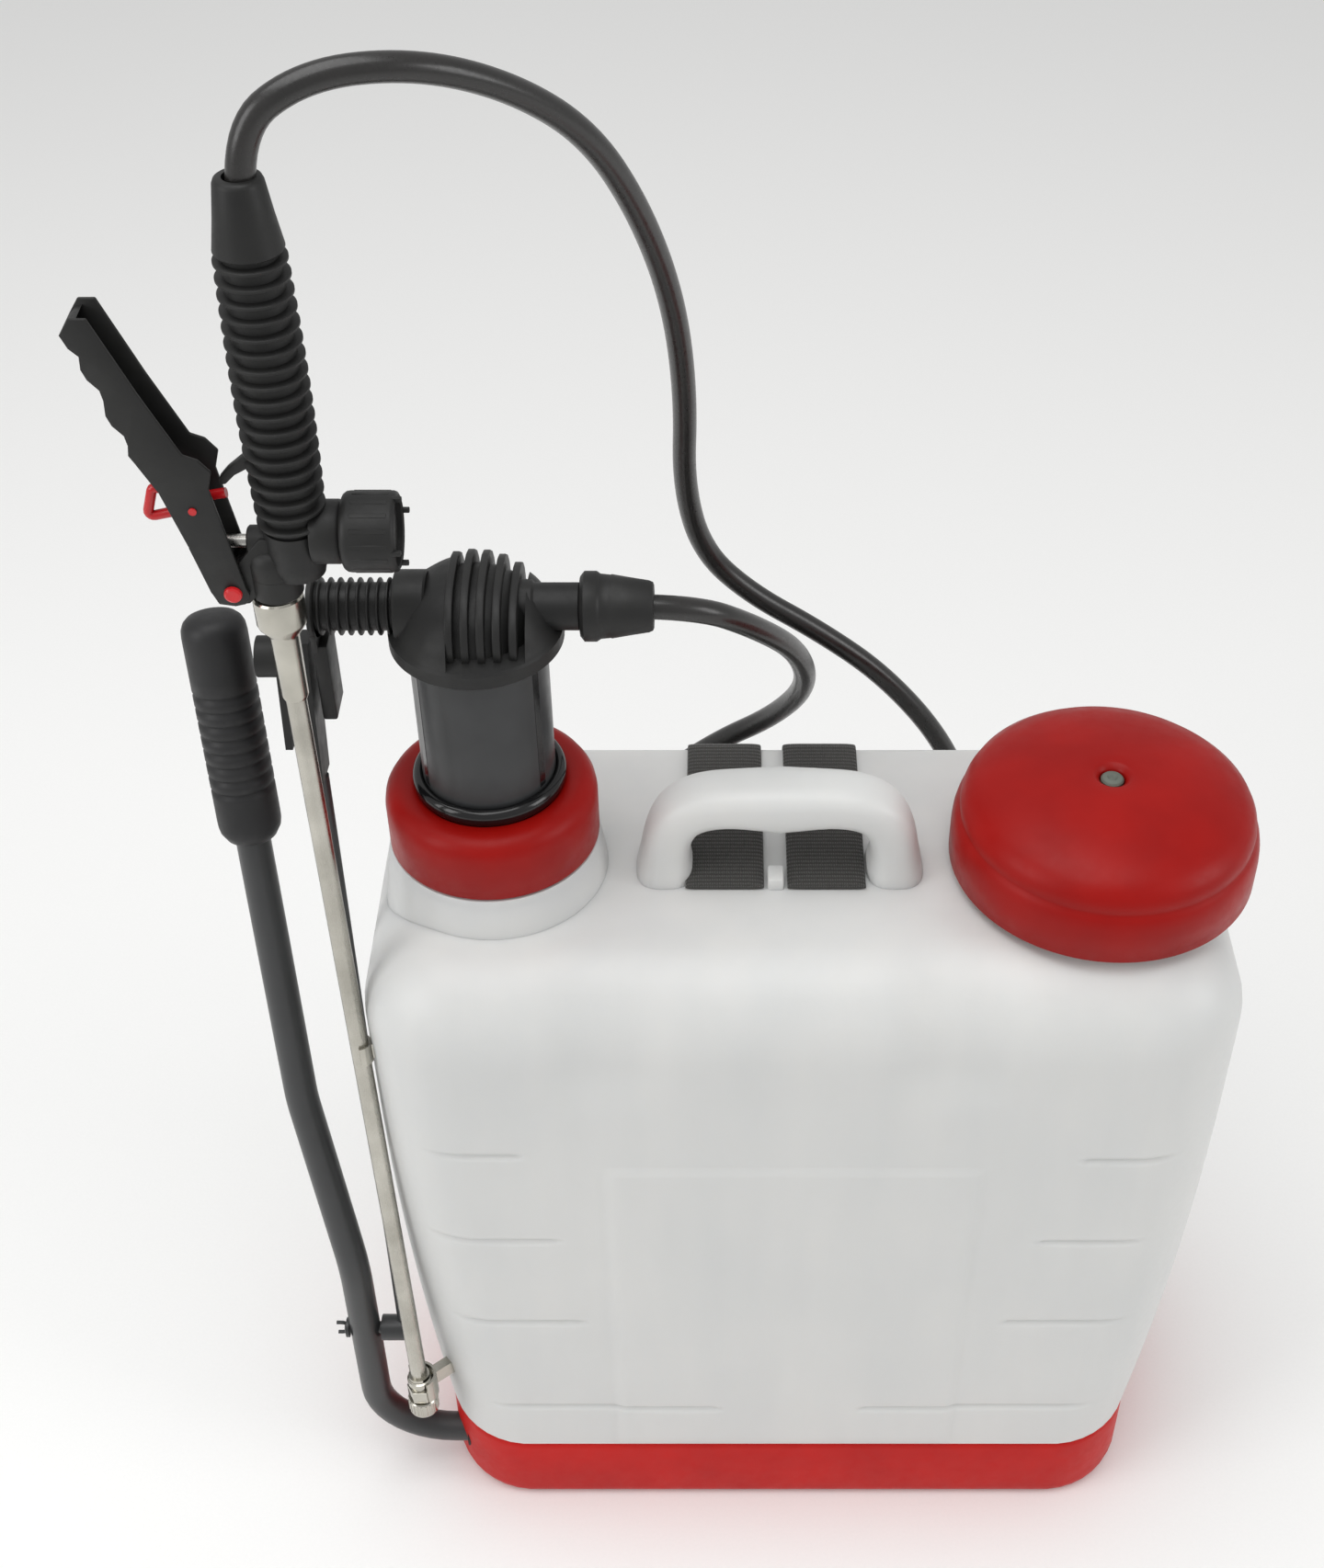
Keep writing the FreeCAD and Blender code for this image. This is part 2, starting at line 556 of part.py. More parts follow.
def make_lance_clip(label, level, bore, height):
    """Half ring behind the lance, open away from the tank, on a stem that ends in the tank's wall."""
    spot = lance_low + lance_run * ((level - lance_low.z) / lance_run.z)
    corner = value("corner")
    inward = V(corner - value(half_width_at(str(level))) - spot.x,
               corner - value("base_half_depth") - spot.y, 0)
    ring = Part.makeCylinder(bore + 1.3, height, V(0, 0, -height / 2))
    ring = ring.cut(Part.makeCylinder(bore, height, V(0, 0, -height / 2)))
    ring = ring.cut(Part.makeBox(40, 80, height, V(-41, -40, -height / 2)))
    stem = Part.makeBox(inward.Length - corner + 0.8 - bore, 5, 8, V(bore + 0.7, -2.5, -4))
    clip = ring.fuse(stem)
    turn = FreeCAD.Rotation(V(0, 0, 1), math.degrees(math.atan2(inward.y, inward.x)))
    clip.Placement = FreeCAD.Placement(spot, LANCE_LEAN.multiply(turn))
    shaped(label, clip.cut(tank.Shape).removeSplitter())


make_lance_clip("lance_clip_low", 98.5, 7.15, 13)
make_lance_clip("lance_clip_high", 322, 4.1, 10)


def make_valve_body():
    valve = new_body("valve_body", ("grip_side", "lance_back", 0))
    turn_outline(valve, [(4, "grip_low - 20"), (9.5, "grip_low - 20"), (11, "grip_low - 16"),
                         (11, "grip_low"), (8, "grip_low"), (8, "grip_high - 2"),
                         (4, "grip_high - 2")])
    pad(valve, "XY_Plane", lambda s: circle(s, -9.3, 0, 9.5), 10, lift="grip_low - 20")
    pad(valve, "YZ_Plane", lambda s: circle(s, 0, "branch_level", 9), 10, lift=7)
    pad(valve, "YZ_Plane", lambda s: circle(s, 0, "branch_level - 4", 5.8), 12, lift=-17)
    for side in (-6, 3.6):
        ear = [(-28, "trigger_level - 5"), (-20, "trigger_level - 6"), (-6, "branch_level - 14"),
               (-6, "branch_level"), (-12, "branch_level"), (-27, "trigger_level + 5")]
        pad(valve, "XZ_Plane", lambda s: polygon(s, ear), 2.4, lift=side)
    pad(valve, "XY_Plane", lambda s: circle(s, -9.3, 0, 9.8), 20, lift="grip_low - 40", cut=True)
    pad(valve, "YZ_Plane", lambda s: circle(s, 0, "branch_level", 6), 20, lift=2, cut=True)
    pad(valve, "YZ_Plane", lambda s: circle(s, 0, "branch_level - 4", 2.55), 26, lift=-18, cut=True)
    pad(valve, "XZ_Plane",
        lambda s: circle(s, "trigger_side - grip_side", "trigger_level", 2.5), 40, centred=True,
        cut=True)


make_valve_body()
turned("lance_sleeve", tube_outline(3, 9.5, 552.3, 561.9), at=("grip_side - 9.3", "lance_back", 0))


def make_grip():
    grip = turned("lance_grip", ribbed_outline("8.05", "grip_low", "grip_high - 2", 9.9, 11.5, 1.9, 18),
                  at=("grip_side", "lance_back", 0))
    hook = [(-9, "grip_low + 26"), (-14, "grip_low + 26"), (-20, "grip_low + 21"),
            (-20, "grip_low + 18.5"), (-13, "grip_low + 22"), (-9, "grip_low + 20")]
    pad(grip, "XZ_Plane", lambda s: polygon(s, hook), 4, centred=True)
    pad(grip, "YZ_Plane", lambda s: circle(s, 0, "branch_level", 9.1), 16, lift=6, cut=True)


make_grip()
turned("lance_hose_nut",
       [("hose_radius + 0.1", 0), (10, 0), (12, 1), (8.4, 24.5), (7.4, 26), ("hose_radius + 0.1", 26)],
       at=("grip_side", "lance_back", "grip_high - 2"))

# ---------------------------------------------------------------- filter, valve and trigger

turned("lance_filter", [(5.5, 0), (7, 0), (7, 14), (0, 14), (0, 12.6), (5.5, 12.6)],
       at=("grip_side + 17.1", "lance_back", "branch_level"), turn=ALONG_X)


def make_filter_cap():
    cap = turned("filter_cap",
                 [(9.1, 0), (12.5, 0), (16, 3), (16, 23), (14, 24), (14, 22), (0, 22), (0, 19),
                  (12, 19), (12, 4.5), (9.1, 4.5)],
                 at=("grip_side + 14", "lance_back", "branch_level"), turn=ALONG_X)
    for across, up in ((1, 0), (0, 1), (-1, 0), (0, -1)):
        tooth = box_outline(15 * across - 1, 15 * across + 1, 15 * up - 1, 15 * up + 1)
        pad(cap, "XY_Plane", lambda s: polygon(s, tooth), 4.4, lift=22)


def make_trigger():
    """A long channel, open towards the grip, with finger scallops on its outer side."""
    trigger = new_body("trigger", ("trigger_side", "lance_back", "trigger_level"))
    outer = [(-6, -5), (4, -5), (5, 2), (-2, 45), (0, 52), (-9, 59), (-32, 112), (-38, 112), (-42, 106),
             (-37, 98), (-36, 89), (-32, 81), (-31, 71), (-27, 63), (-26, 56), (-20, 44), (-13, 20),
             (-8, 0)]
    inner = [(-5, -8), (-10, 20), (-17, 44), (-23, 57), (-27, 70), (-32, 87), (-35, 100), (-36, 108),
             (-33, 108), (20, 122), (20, -8)]
    slot = box_outline(-40, -12, 22, 48)
    pad(trigger, "XZ_Plane", lambda s: polygon(s, outer), "2 * trigger_half_width", centred=True)
    pad(trigger, "XZ_Plane", lambda s: polygon(s, inner), "2 * trigger_half_width - 3.2", centred=True,
        cut=True)
    pad(trigger, "XZ_Plane", lambda s: polygon(s, slot), 7, centred=True, cut=True)
    pad(trigger, "XZ_Plane", lambda s: circle(s, 0, 0, 2.55), 40, centred=True, cut=True)
    pad(trigger, "XZ_Plane", lambda s: circle(s, -9, 36, 1.55), 40, centred=True, cut=True)


def make_trigger_lock():
    """A red loop outside the trigger, on a bar that passes through it and turns on its own pin."""
    lock = new_body("trigger_lock", ("trigger_side - 9", "lance_back", "trigger_level + 36"))
    outer = [(-21, -9.5), (-9, -7), (-6, -2.5), (11, 0.5), (11, 5), (-6, 3), (-8, 5), (-15.5, 6.5)]
    inner = [(-17, -5.5), (-11, -4), (-9, 1.5), (-13.5, 2.5)]
    pad(lock, "XZ_Plane", lambda s: (polygon(s, outer), polygon(s, inner)), 5, centred=True)
    pad(lock, "XZ_Plane", lambda s: circle(s, 0, 0, 1.5), "2 * trigger_half_width + 1", centred=True)


make_filter_cap()
make_trigger()
make_trigger_lock()
turned("trigger_pin", [(0, -9.8), (4, -9.8), (4, -8.3), (2.5, -8.3), (2.5, 8.3), (4, 8.3), (4, 9.8),
                       (0, 9.8)],
       at=("trigger_side", "lance_back", "trigger_level"), turn=FreeCAD.Rotation(V(1, 0, 0), 90))
turned("valve_stem", [(0, 0), (2.5, 0), (2.5, 32), (0, 32)],
       at=("trigger_side - 8.8", "lance_back", "branch_level - 4"), turn=ALONG_X)


def make_valve_spring():
    coil = Part.makeHelix(2.6, 12, 4.4)
    ring = Part.Wire(Part.Circle(V(4.4, 0, 0), V(0, 1, 0), 0.6).toShape())
    spring = Part.Wire(coil.Edges).makePipeShell([ring], True, True)
    piece = shaped("valve_spring", spring)
    place(piece, ("grip_side + 4", "lance_back", "branch_level"), ALONG_X)


make_valve_spring()

# ---------------------------------------------------------------- straps


def strap_outline(gap, thickness):
    """Band in the YZ plane: over the tank's top, round the rear shoulder and down its back."""
    inner, outer = [("-18", f"tank_top + {gap}")], [("-18", f"tank_top + {gap} + {thickness}")]
    for k in range(7):
        angle = math.radians(15 * k)
        for line, reach in ((inner, f"{gap}"), (outer, f"{gap} + {thickness}")):
            line.append(("base_half_depth - rear_share * shoulder"
                         f" + (rear_share * shoulder + {reach}) * {math.sin(angle):.5f}",
                         f"tank_top - shoulder + (shoulder + {reach}) * {math.cos(angle):.5f}"))
    inner.append((f"base_half_depth + {gap}", "48"))
    outer.append((f"base_half_depth + {gap} + {thickness}", "48"))
    return inner + outer[::-1]


def make_strap(label, middle):
    strap = new_body(label, (middle, 0, 0))
    pad(strap, "YZ_Plane", lambda s: polygon(s, strap_outline(1.5, "strap_thick")), "strap_width",
        centred=True)


def make_buckles():
    frames = []
    for middle in ("strap_left_middle", "strap_right_middle"):
        frame = doc.addObject("Part::Box", "frame")
        slot = doc.addObject("Part::Box", "slot")
        for box, grow in ((frame, 0), (slot, 1)):
            box.setExpression("Length", cell(f"strap_width + {7 - 6.4 * grow}"))
            box.setExpression("Width", cell(f"strap_thick + {3.4 - 2.8 * grow}"))
            box.Height = 30 + 10 * grow
            place(box, (f"{middle} - strap_width / 2 - {3.5 - 3.2 * grow}",
                        f"base_half_depth + {0.3 + 0.9 * grow}", 118 - 5 * grow), UPRIGHT)
        buckle = doc.addObject("Part::Cut", "buckle")
        buckle.Base = frame
        buckle.Tool = slot
        frames.append(buckle)
    pair = doc.addObject("Part::Compound", "pair_of_buckles")
    pair.Label = "strap_buckles"
    pair.Links = frames
    parts.append(pair)


make_strap("strap_left", "strap_left_middle")
make_strap("strap_right", "strap_right_middle")
make_buckles()

# ---------------------------------------------------------------- hose

HOSE_ROUTE = [
    V(-190, -38, 700), V(-190, -38, 730), V(-167, -31, 746), V(-134, -19, 745), V(-105, 1, 729),
    V(-81, 22, 703), V(-65, 44, 663), V(-54, 66, 615), V(-50, 84, 562), V(-52, 100, 508),
    V(-44, 110, 466), V(-22, 113, 440), V(10, 114, 418), V(42, 116, 390), V(72, 117, 350),
    V(90, 118, 304), V(82, 120, 258), V(50, 121, 226), V(8, 122, 214), V(-36, 121, 220),
    V(-72, 120, 244), V(-84, 119, 284), V(-68, 117, 322), V(-38, 112, 352), V(-10, 98, 380),
    V(4, 76, 416), V(-2, 50, 456), V(-22, 20, 492), V(-46, 0, 517), V(-76, 0, 517),
]


def make_hose():
    radius = value("hose_radius")
    bends = []
    for before, here, after in zip(HOSE_ROUTE, HOSE_ROUTE[1:], HOSE_ROUTE[2:]):
        turn = (here - before).getAngle(after - here)
        shorter = min((here - before).Length, (after - here).Length)
        bends.append(0.45 * shorter / math.tan(turn / 2))
    path = rounded_path(HOSE_ROUTE, bends)
    hose = swept(path, radius)
    print("hose radii", [round(bend) for bend in bends])
    print("hose length %.0f, volume over section times length %.4f"
          % (path.Length, hose.Volume / (math.pi * radius ** 2 * path.Length)))
    return shaped("hose", hose)


make_hose()

# ---------------------------------------------------------------- checks and files

doc.recompute()
for thing in doc.Objects:
    if {"Invalid", "Error"} & set(thing.State):
        raise SystemExit(f"{thing.Name} ({thing.Label}) failed: {thing.State}")
for piece in parts:
    if piece.Shape.isNull() or not piece.Shape.isValid() or not piece.Shape.Solids:
        raise SystemExit(f"{piece.Label} has no valid solid")
os.makedirs("parts", exist_ok=True)
for piece in parts:
    piece.Shape.exportStep(f"parts/{piece.Label}.step")
    print(f"{piece.Label:20} solids {len(piece.Shape.Solids)}  volume {piece.Shape.Volume / 1000:8.2f} cm3")
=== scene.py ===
import math

import bmesh
import bpy
from mathutils import Matrix, Vector


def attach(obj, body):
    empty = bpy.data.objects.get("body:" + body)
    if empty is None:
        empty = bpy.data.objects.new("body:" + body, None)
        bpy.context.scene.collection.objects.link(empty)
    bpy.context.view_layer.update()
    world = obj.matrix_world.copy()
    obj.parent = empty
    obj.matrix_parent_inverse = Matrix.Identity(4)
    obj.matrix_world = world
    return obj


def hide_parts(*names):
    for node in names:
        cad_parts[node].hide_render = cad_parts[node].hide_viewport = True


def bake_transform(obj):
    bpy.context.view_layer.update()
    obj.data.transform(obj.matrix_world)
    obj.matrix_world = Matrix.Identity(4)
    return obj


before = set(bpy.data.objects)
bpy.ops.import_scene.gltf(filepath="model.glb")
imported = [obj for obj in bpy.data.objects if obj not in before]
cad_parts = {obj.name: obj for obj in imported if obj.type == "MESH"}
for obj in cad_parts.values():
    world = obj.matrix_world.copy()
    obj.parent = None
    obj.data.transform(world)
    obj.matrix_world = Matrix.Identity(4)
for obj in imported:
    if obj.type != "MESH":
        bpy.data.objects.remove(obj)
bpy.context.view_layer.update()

MM = 0.001
AXIS_Z = Vector((0, 0, 1))
MINUS_X = Vector((-1, 0, 0))
PLUS_X = Vector((1, 0, 0))

# Driving sizes, in millimetres
BASE_HALF_WIDTH = 175.8
TANK_HALF_WIDTH = 190
HALF_DEPTH = 86.5
BASE_HEIGHT = 50
WIDEST_LEVEL = 290
TANK_TOP = 378
SHOULDER = 38
REAR_SHARE = 0.35
CORNER = 43
HANDLE_MIDDLE = -10
HANDLE_Y = -2
LID_X = 130
MOUTH_BORE = 52
MOUTH_RADIUS = 57
PUMP_X = -133
NECK_BORE = 36.5
NECK_RADIUS = 45
NECK_TOP = 397.4
CHAMBER_LOW = 152
CHAMBER_TOP = 500
OUTLET_LEVEL = 517
LEVER_FOOT_Y = -60
LEVER_RADIUS = 7.5
PIN_LEVEL = 114
GRIP_X, GRIP_Y = -190, -38
GRIP_LOW = 582
GRIP_LENGTH = 108
BRANCH_LEVEL = 579
SOCKET_X = GRIP_X - 9.3
HOSE_DIAMETER = 10
STRAP_WIDTH = 34
STRAP_THICK = 4
STRAP_MIDDLES = {"strap_left": -34, "strap_right": 10}


# ---------------------------------------------------------------- camera, light and floor

CAMERA_PLACE = (-0.036, -0.671, 1.017)
CAMERA_TILT = 48.5
CAMERA_LENS = 48.5
FLOOR_SIZE = 6000
LIGHT_AIM = (0, 0, 0.3)
# Name, place, size and power; each one is turned to LIGHT_AIM
SOFTBOXES = [("overhead_softbox", (-0.3, -0.2, 2.2), (1.8, 1.4), 19),
             ("left_softbox", (-1.8, -0.9, 1.3), (1.0, 1.4), 13),
             ("right_softbox", (1.9, -0.6, 1.2), (0.8, 1.2), 10)]


def place_camera():
    camera_data = bpy.data.cameras.new("camera")
    camera_data.lens = CAMERA_LENS
    camera_data.sensor_width = 36
    camera_data.shift_x = -0.037
    camera = bpy.data.objects.new("camera", camera_data)
    camera.location = CAMERA_PLACE
    camera.rotation_euler = (math.radians(CAMERA_TILT), 0, 0)
    bpy.context.scene.collection.objects.link(camera)
    bpy.context.scene.camera = camera


def area_light(name, place, size, power):
    light_data = bpy.data.lights.new(name, "AREA")
    light_data.shape = "RECTANGLE"
    light_data.size = size[0]
    light_data.size_y = size[1]
    light_data.energy = power
    light = bpy.data.objects.new(name, light_data)
    light.location = place
    light.rotation_euler = (Vector(LIGHT_AIM) - Vector(place)).to_track_quat("-Z", "Y").to_euler()
    bpy.context.scene.collection.objects.link(light)


# ---------------------------------------------------------------- materials

def linear(code):
    """Shader colour of an sRGB hex code."""
    shares = [int(code[k:k + 2], 16) / 255 for k in (1, 3, 5)]
    return tuple(s / 12.92 if s <= 0.04045 else ((s + 0.055) / 1.055) ** 2.4 for s in shares) + (1,)


def add(tree, kind, inputs=None, **settings):
    """A node with its settings; an input is a value or the socket it is linked from."""
    made = tree.nodes.new("ShaderNode" + kind)
    for name, value in settings.items():
        setattr(made, name, value)
    for socket, value in (inputs or {}).items():
        if isinstance(value, bpy.types.NodeSocket):
            tree.links.new(value, made.inputs[socket])
        else:
            made.inputs[socket].default_value = value
    return made


def new_material(name):
    material = bpy.data.materials.new(name)
    material.use_nodes = True
    material.node_tree.nodes.clear()
    return material, material.node_tree


def speckle(tree, place, size_mm, detail=3.0, roughness=0.5):
    """Noise whose grains are about size_mm across."""
    return add(tree, "TexNoise", {"Vector": place, "Scale": 1 / (size_mm * MM), "Detail": detail,
                                  "Roughness": roughness}).outputs["Fac"]


def span(tree, fac, low, high, from_low=0.3, from_high=0.7):
    """Stretches the middle of a noise's range to low and high."""
    return add(tree, "MapRange", {"Value": fac, "From Min": from_low, "From Max": from_high,
                                  "To Min": low, "To Max": high}).outputs["Result"]


def two_tone(tree, fac, dark, light):
    """Colour between two sRGB hex values."""
    mix = add(tree, "Mix", {"Factor": fac}, data_type="RGBA")
    mix.inputs[6].default_value = linear(dark)
    mix.inputs[7].default_value = linear(light)
    return mix.outputs[2]


def bump(tree, height, depth_mm, normal=None):
    """Relief depth_mm deep, laid over another relief if one is given."""
    inputs = {"Height": height, "Strength": 1.0, "Distance": depth_mm * MM}
    if normal is not None:
        inputs["Normal"] = normal
    return add(tree, "Bump", inputs).outputs["Normal"]


def finish_surface(tree, shader):
    add(tree, "OutputMaterial", {"Surface": shader.outputs["BSDF"]})


def moulded_plastic(name, dark, light, gloss, grain_mm=0.5, grain_depth=0.012, drift_mm=28,
                    settings=None):
    """Injection moulded plastic: fine mould grain over slow drifts of colour and gloss."""
    material, tree = new_material(name)
    place = add(tree, "TexCoord").outputs["Object"]
    drift = speckle(tree, place, drift_mm, 2.0)
    grain = speckle(tree, place, grain_mm, 4.0, 0.6)
    scuff = speckle(tree, place, 6.0, 5.0, 0.65)
    inputs = {"Base Color": two_tone(tree, span(tree, drift, 0, 1), dark, light),
              "Roughness": span(tree, scuff, gloss[0], gloss[1]),
              "Normal": bump(tree, grain, grain_depth)}
    inputs.update(settings or {})
    finish_surface(tree, add(tree, "BsdfPrincipled", inputs))
    return material


def blow_moulded_tank_plastic():
    """Natural polyethylene, blow moulded: milky, light passes a little way in, and the skin has
    a faint orange peel with soft flow lines running down it."""
    material, tree = new_material("blow_moulded_natural_polyethylene")
    place = add(tree, "TexCoord").outputs["Object"]
    stretched = add(tree, "Mapping", {"Vector": place, "Scale": (1, 1, 0.18)}).outputs["Vector"]
    flow = speckle(tree, stretched, 26, 2.0)
    peel = speckle(tree, place, 3.2, 2.0)
    grain = speckle(tree, place, 0.45, 3.0)
    height = add(tree, "Math", {0: peel, 1: span(tree, grain, 0, 0.25)}, operation="ADD")
    wall = speckle(tree, place, 70, 1.0)
    tone = add(tree, "Math", {0: span(tree, flow, 0, 0.6), 1: span(tree, wall, 0, 0.4)},
               operation="ADD").outputs[0]
    shader = add(tree, "BsdfPrincipled",
                 {"Base Color": two_tone(tree, tone, "#CFD0CF", "#D6D6D4"),
                  "Roughness": span(tree, peel, 0.36, 0.46), "Subsurface Weight": 0.35,
                  "Subsurface Radius": (1.0, 0.95, 0.85), "Subsurface Scale": 0.006, "IOR": 1.5,
                  "Normal": bump(tree, height.outputs[0], 0.035)})
    finish_surface(tree, shader)
    return material


def extruded_hose_plastic():
    """Soft PVC drawn through a die: a slightly waxy shine with long fine draw lines."""
    material, tree = new_material("extruded_pvc_hose")
    place = add(tree, "TexCoord").outputs["Object"]
    bloom = speckle(tree, place, 18, 3.0)
    skin = speckle(tree, place, 1.2, 3.0)
    shader = add(tree, "BsdfPrincipled",
                 {"Base Color": two_tone(tree, span(tree, bloom, 0, 1), "#191817", "#211F1E"),
                  "Roughness": span(tree, skin, 0.26, 0.38), "Coat Weight": 0.25,
                  "Coat Roughness": 0.2, "Normal": bump(tree, skin, 0.02)})
    finish_surface(tree, shader)
    return material


def drawn_metal(name, dark, light, gloss, line_mm, along):
    """Drawn or turned metal: streaks that run along the axis given by its stretch."""
    material, tree = new_material(name)
    place = add(tree, "TexCoord").outputs["Object"]
    stretched = add(tree, "Mapping", {"Vector": place, "Scale": along}).outputs["Vector"]
    lines = speckle(tree, stretched, line_mm, 4.0, 0.7)
    cloud = speckle(tree, place, 22, 3.0)
    shader = add(tree, "BsdfPrincipled",
                 {"Base Color": two_tone(tree, span(tree, cloud, 0, 1), dark, light),
                  "Metallic": 1.0, "Roughness": span(tree, lines, gloss[0], gloss[1]),
                  "Normal": bump(tree, lines, 0.006)})
    finish_surface(tree, shader)
    return material


def powder_coated_steel():
    """Baked powder on bent steel tube: even dark grey with the fine orange peel of melted powder."""
    material, tree = new_material("powder_coated_steel_tube")
    place = add(tree, "TexCoord").outputs["Object"]
    peel = speckle(tree, place, 1.1, 2.0)
    rub = speckle(tree, place, 34, 4.0)
    shader = add(tree, "BsdfPrincipled",
                 {"Base Color": two_tone(tree, span(tree, rub, 0, 1), "#2A2B2C", "#343536"),
                  "Roughness": span(tree, rub, 0.34, 0.46), "Coat Weight": 0.15,
                  "Coat Roughness": 0.3, "Normal": bump(tree, peel, 0.03)})
    finish_surface(tree, shader)
    return material


def threads(tree, place, pitch_mm, direction, distortion):
    """Parallel bands that repeat every pitch_mm; the wave node turns by 20 for each unit of scale."""
    return add(tree, "TexWave", {"Vector": place, "Scale": math.tau / (20 * pitch_mm * MM),
                                 "Distortion": distortion, "Detail": 1.0, "Detail Scale": 2.0},
               wave_type="BANDS", bands_direction=direction).outputs["Fac"]


def woven_webbing():
    """Flat woven polypropylene strap: ribs across the band, crossed by the warp threads."""
    material, tree = new_material("woven_polypropylene_webbing")
    place = add(tree, "TexCoord").outputs["Object"]
    warp = threads(tree, place, 1.0188, "X", 0.0)
    # Turned half way between level and upright, so the weft shows on the top and on the back
    along = add(tree, "Mapping", {"Vector": place, "Rotation": (math.radians(45), 0, 0)})
    weft = threads(tree, along.outputs["Vector"], 1.6535, "Y", 0.6)
    weave = add(tree, "Math", {0: warp, 1: weft}, operation="MULTIPLY").outputs[0]
    fuzz = speckle(tree, place, 0.3, 4.0)
    tone = add(tree, "Math", {0: span(tree, weave, 0, 0.7, 0, 1), 1: span(tree, fuzz, 0, 0.3)},
               operation="ADD").outputs[0]
    shader = add(tree, "BsdfPrincipled",
                 {"Base Color": two_tone(tree, tone, "#262523", "#42413D"),
                  "Roughness": span(tree, fuzz, 0.72, 0.88), "Sheen Weight": 0.25,
                  "Sheen Roughness": 0.5, "Normal": bump(tree, weave, 0.35)})
    finish_surface(tree, shader)
    return material


def studio_paper():
    """Matt white paper with a faint fibre, nearly even in colour."""
    material, tree = new_material("seamless_white_paper")
    place = add(tree, "TexCoord").outputs["Object"]
    fibre = speckle(tree, place, 1.5, 3.0)
    shader = add(tree, "BsdfPrincipled",
                 {"Base Color": two_tone(tree, fibre, "#F3F3F2", "#F8F8F7"), "Roughness": 0.9,
                  "Specular IOR Level": 0.2})
    finish_surface(tree, shader)
    return material


TANK_PLASTIC = blow_moulded_tank_plastic()
# Red copolymer with a satin mould finish, a little lighter where the mould was polished
BASE_RED = moulded_plastic("satin_moulded_red_copolymer", "#B40B06", "#C01009", (0.4, 0.52),
                           settings={"Specular IOR Level": 0.2})
# The screw parts are a deeper red and slightly glossier, from a smoother mould
CAP_RED = moulded_plastic("fine_moulded_deep_red_copolymer", "#8E0804", "#9A0C06", (0.36, 0.48),
                          settings={"Specular IOR Level": 0.2})
# Glass filled nylon: dark grey rather than black, dull, with the grain of the fibres
DARK_PLASTIC = moulded_plastic("moulded_glass_filled_nylon", "#191919", "#222221", (0.42, 0.56),
                               0.7, 0.02, settings={"Specular IOR Level": 0.35})
# Chamber wall, moulded on a polished core: a lighter grey than the head and glossier
CHAMBER_PLASTIC = moulded_plastic("semi_gloss_chamber_nylon", "#303132", "#393A3B", (0.28, 0.38),
                                  0.9, 0.008, settings={"Specular IOR Level": 0.35})
# Nearly mirror smooth, so the guide ring and the strips carry sharp highlights
GLOSS_BLACK = moulded_plastic("polished_black_acetal", "#0B0B0C", "#151516", (0.1, 0.18), 1.2, 0.004)
# Small pins and the lock, clean and bright from a polished mould
GLOSS_RED = moulded_plastic("polished_red_acetal", "#B3151B", "#C81D22", (0.18, 0.28), 1.0, 0.005)
# Dull grey green dot in the lid
VENT_GREY = moulded_plastic("soft_grey_vent_rubber", "#5C625A", "#6E746A", (0.55, 0.7), 0.5, 0.02)
# Inner pieces: plain, clean and slightly shiny
WHITE_PLASTIC = moulded_plastic("moulded_white_polypropylene", "#DCDCD8", "#E8E8E4", (0.35, 0.5))
# Gaskets: the dullest black here
SEAL_RUBBER = moulded_plastic("moulded_black_nitrile_rubber", "#161616", "#212121", (0.6, 0.75),
                              0.4, 0.02)
# The lever's grip, a satin skin with a little more wear on it
GRIP_PLASTIC = moulded_plastic("satin_black_grip_plastic", "#1E1E1F", "#272728", (0.42, 0.56),
                               0.8, 0.02, settings={"Specular IOR Level": 0.35})
HOSE_PLASTIC = extruded_hose_plastic()
PAINTED_STEEL = powder_coated_steel()
# Streaks run along the lance; the turned pieces have theirs round them
LANCE_STEEL = drawn_metal("drawn_steel_lance", "#A9A69D", "#C2BFB6", (0.2, 0.36), 0.5, (1, 1, 0.03))
NICKEL = drawn_metal("nickel_plated_brass", "#AAA79E", "#C6C3B9", (0.14, 0.26), 0.4, (0.4, 0.4, 1))
BRIGHT_STEEL = drawn_metal("bright_turned_steel", "#9E9D99", "#B9B8B4", (0.22, 0.34), 0.4,
                           (1, 0.5, 1))
WEBBING = woven_webbing()


# ---------------------------------------------------------------- mesh helpers, in millimetres

def lathe(outline, closed=False, steps=96):
    """Turns (radius, height) points once round Z."""
    bm = bmesh.new()
    points = [bm.verts.new((radius, 0, height)) for radius, height in outline]
    edges = [bm.edges.new(pair) for pair in zip(points, points[1:])]
    if closed:
        edges.append(bm.edges.new((points[-1], points[0])))
    bmesh.ops.spin(bm, geom=points + edges, cent=(0, 0, 0), axis=(0, 0, 1), angle=math.tau,
                   steps=steps, use_merge=True, use_duplicate=False)
    bmesh.ops.remove_doubles(bm, verts=bm.verts, dist=0.001)
    bmesh.ops.recalc_face_normals(bm, faces=bm.faces)
    return bm


def soften(bm, offset, segments=2, over=28):
    """Rounds every edge that turns by more than the given degrees."""
    sharp = [e for e in bm.edges
             if len(e.link_faces) == 2 and e.calc_face_angle(0) > math.radians(over)]
    bmesh.ops.bevel(bm, geom=sharp, offset=offset, offset_type="OFFSET", segments=segments,
                    profile=0.5, affect="EDGES", material=-1, clamp_overlap=True)
    return bm


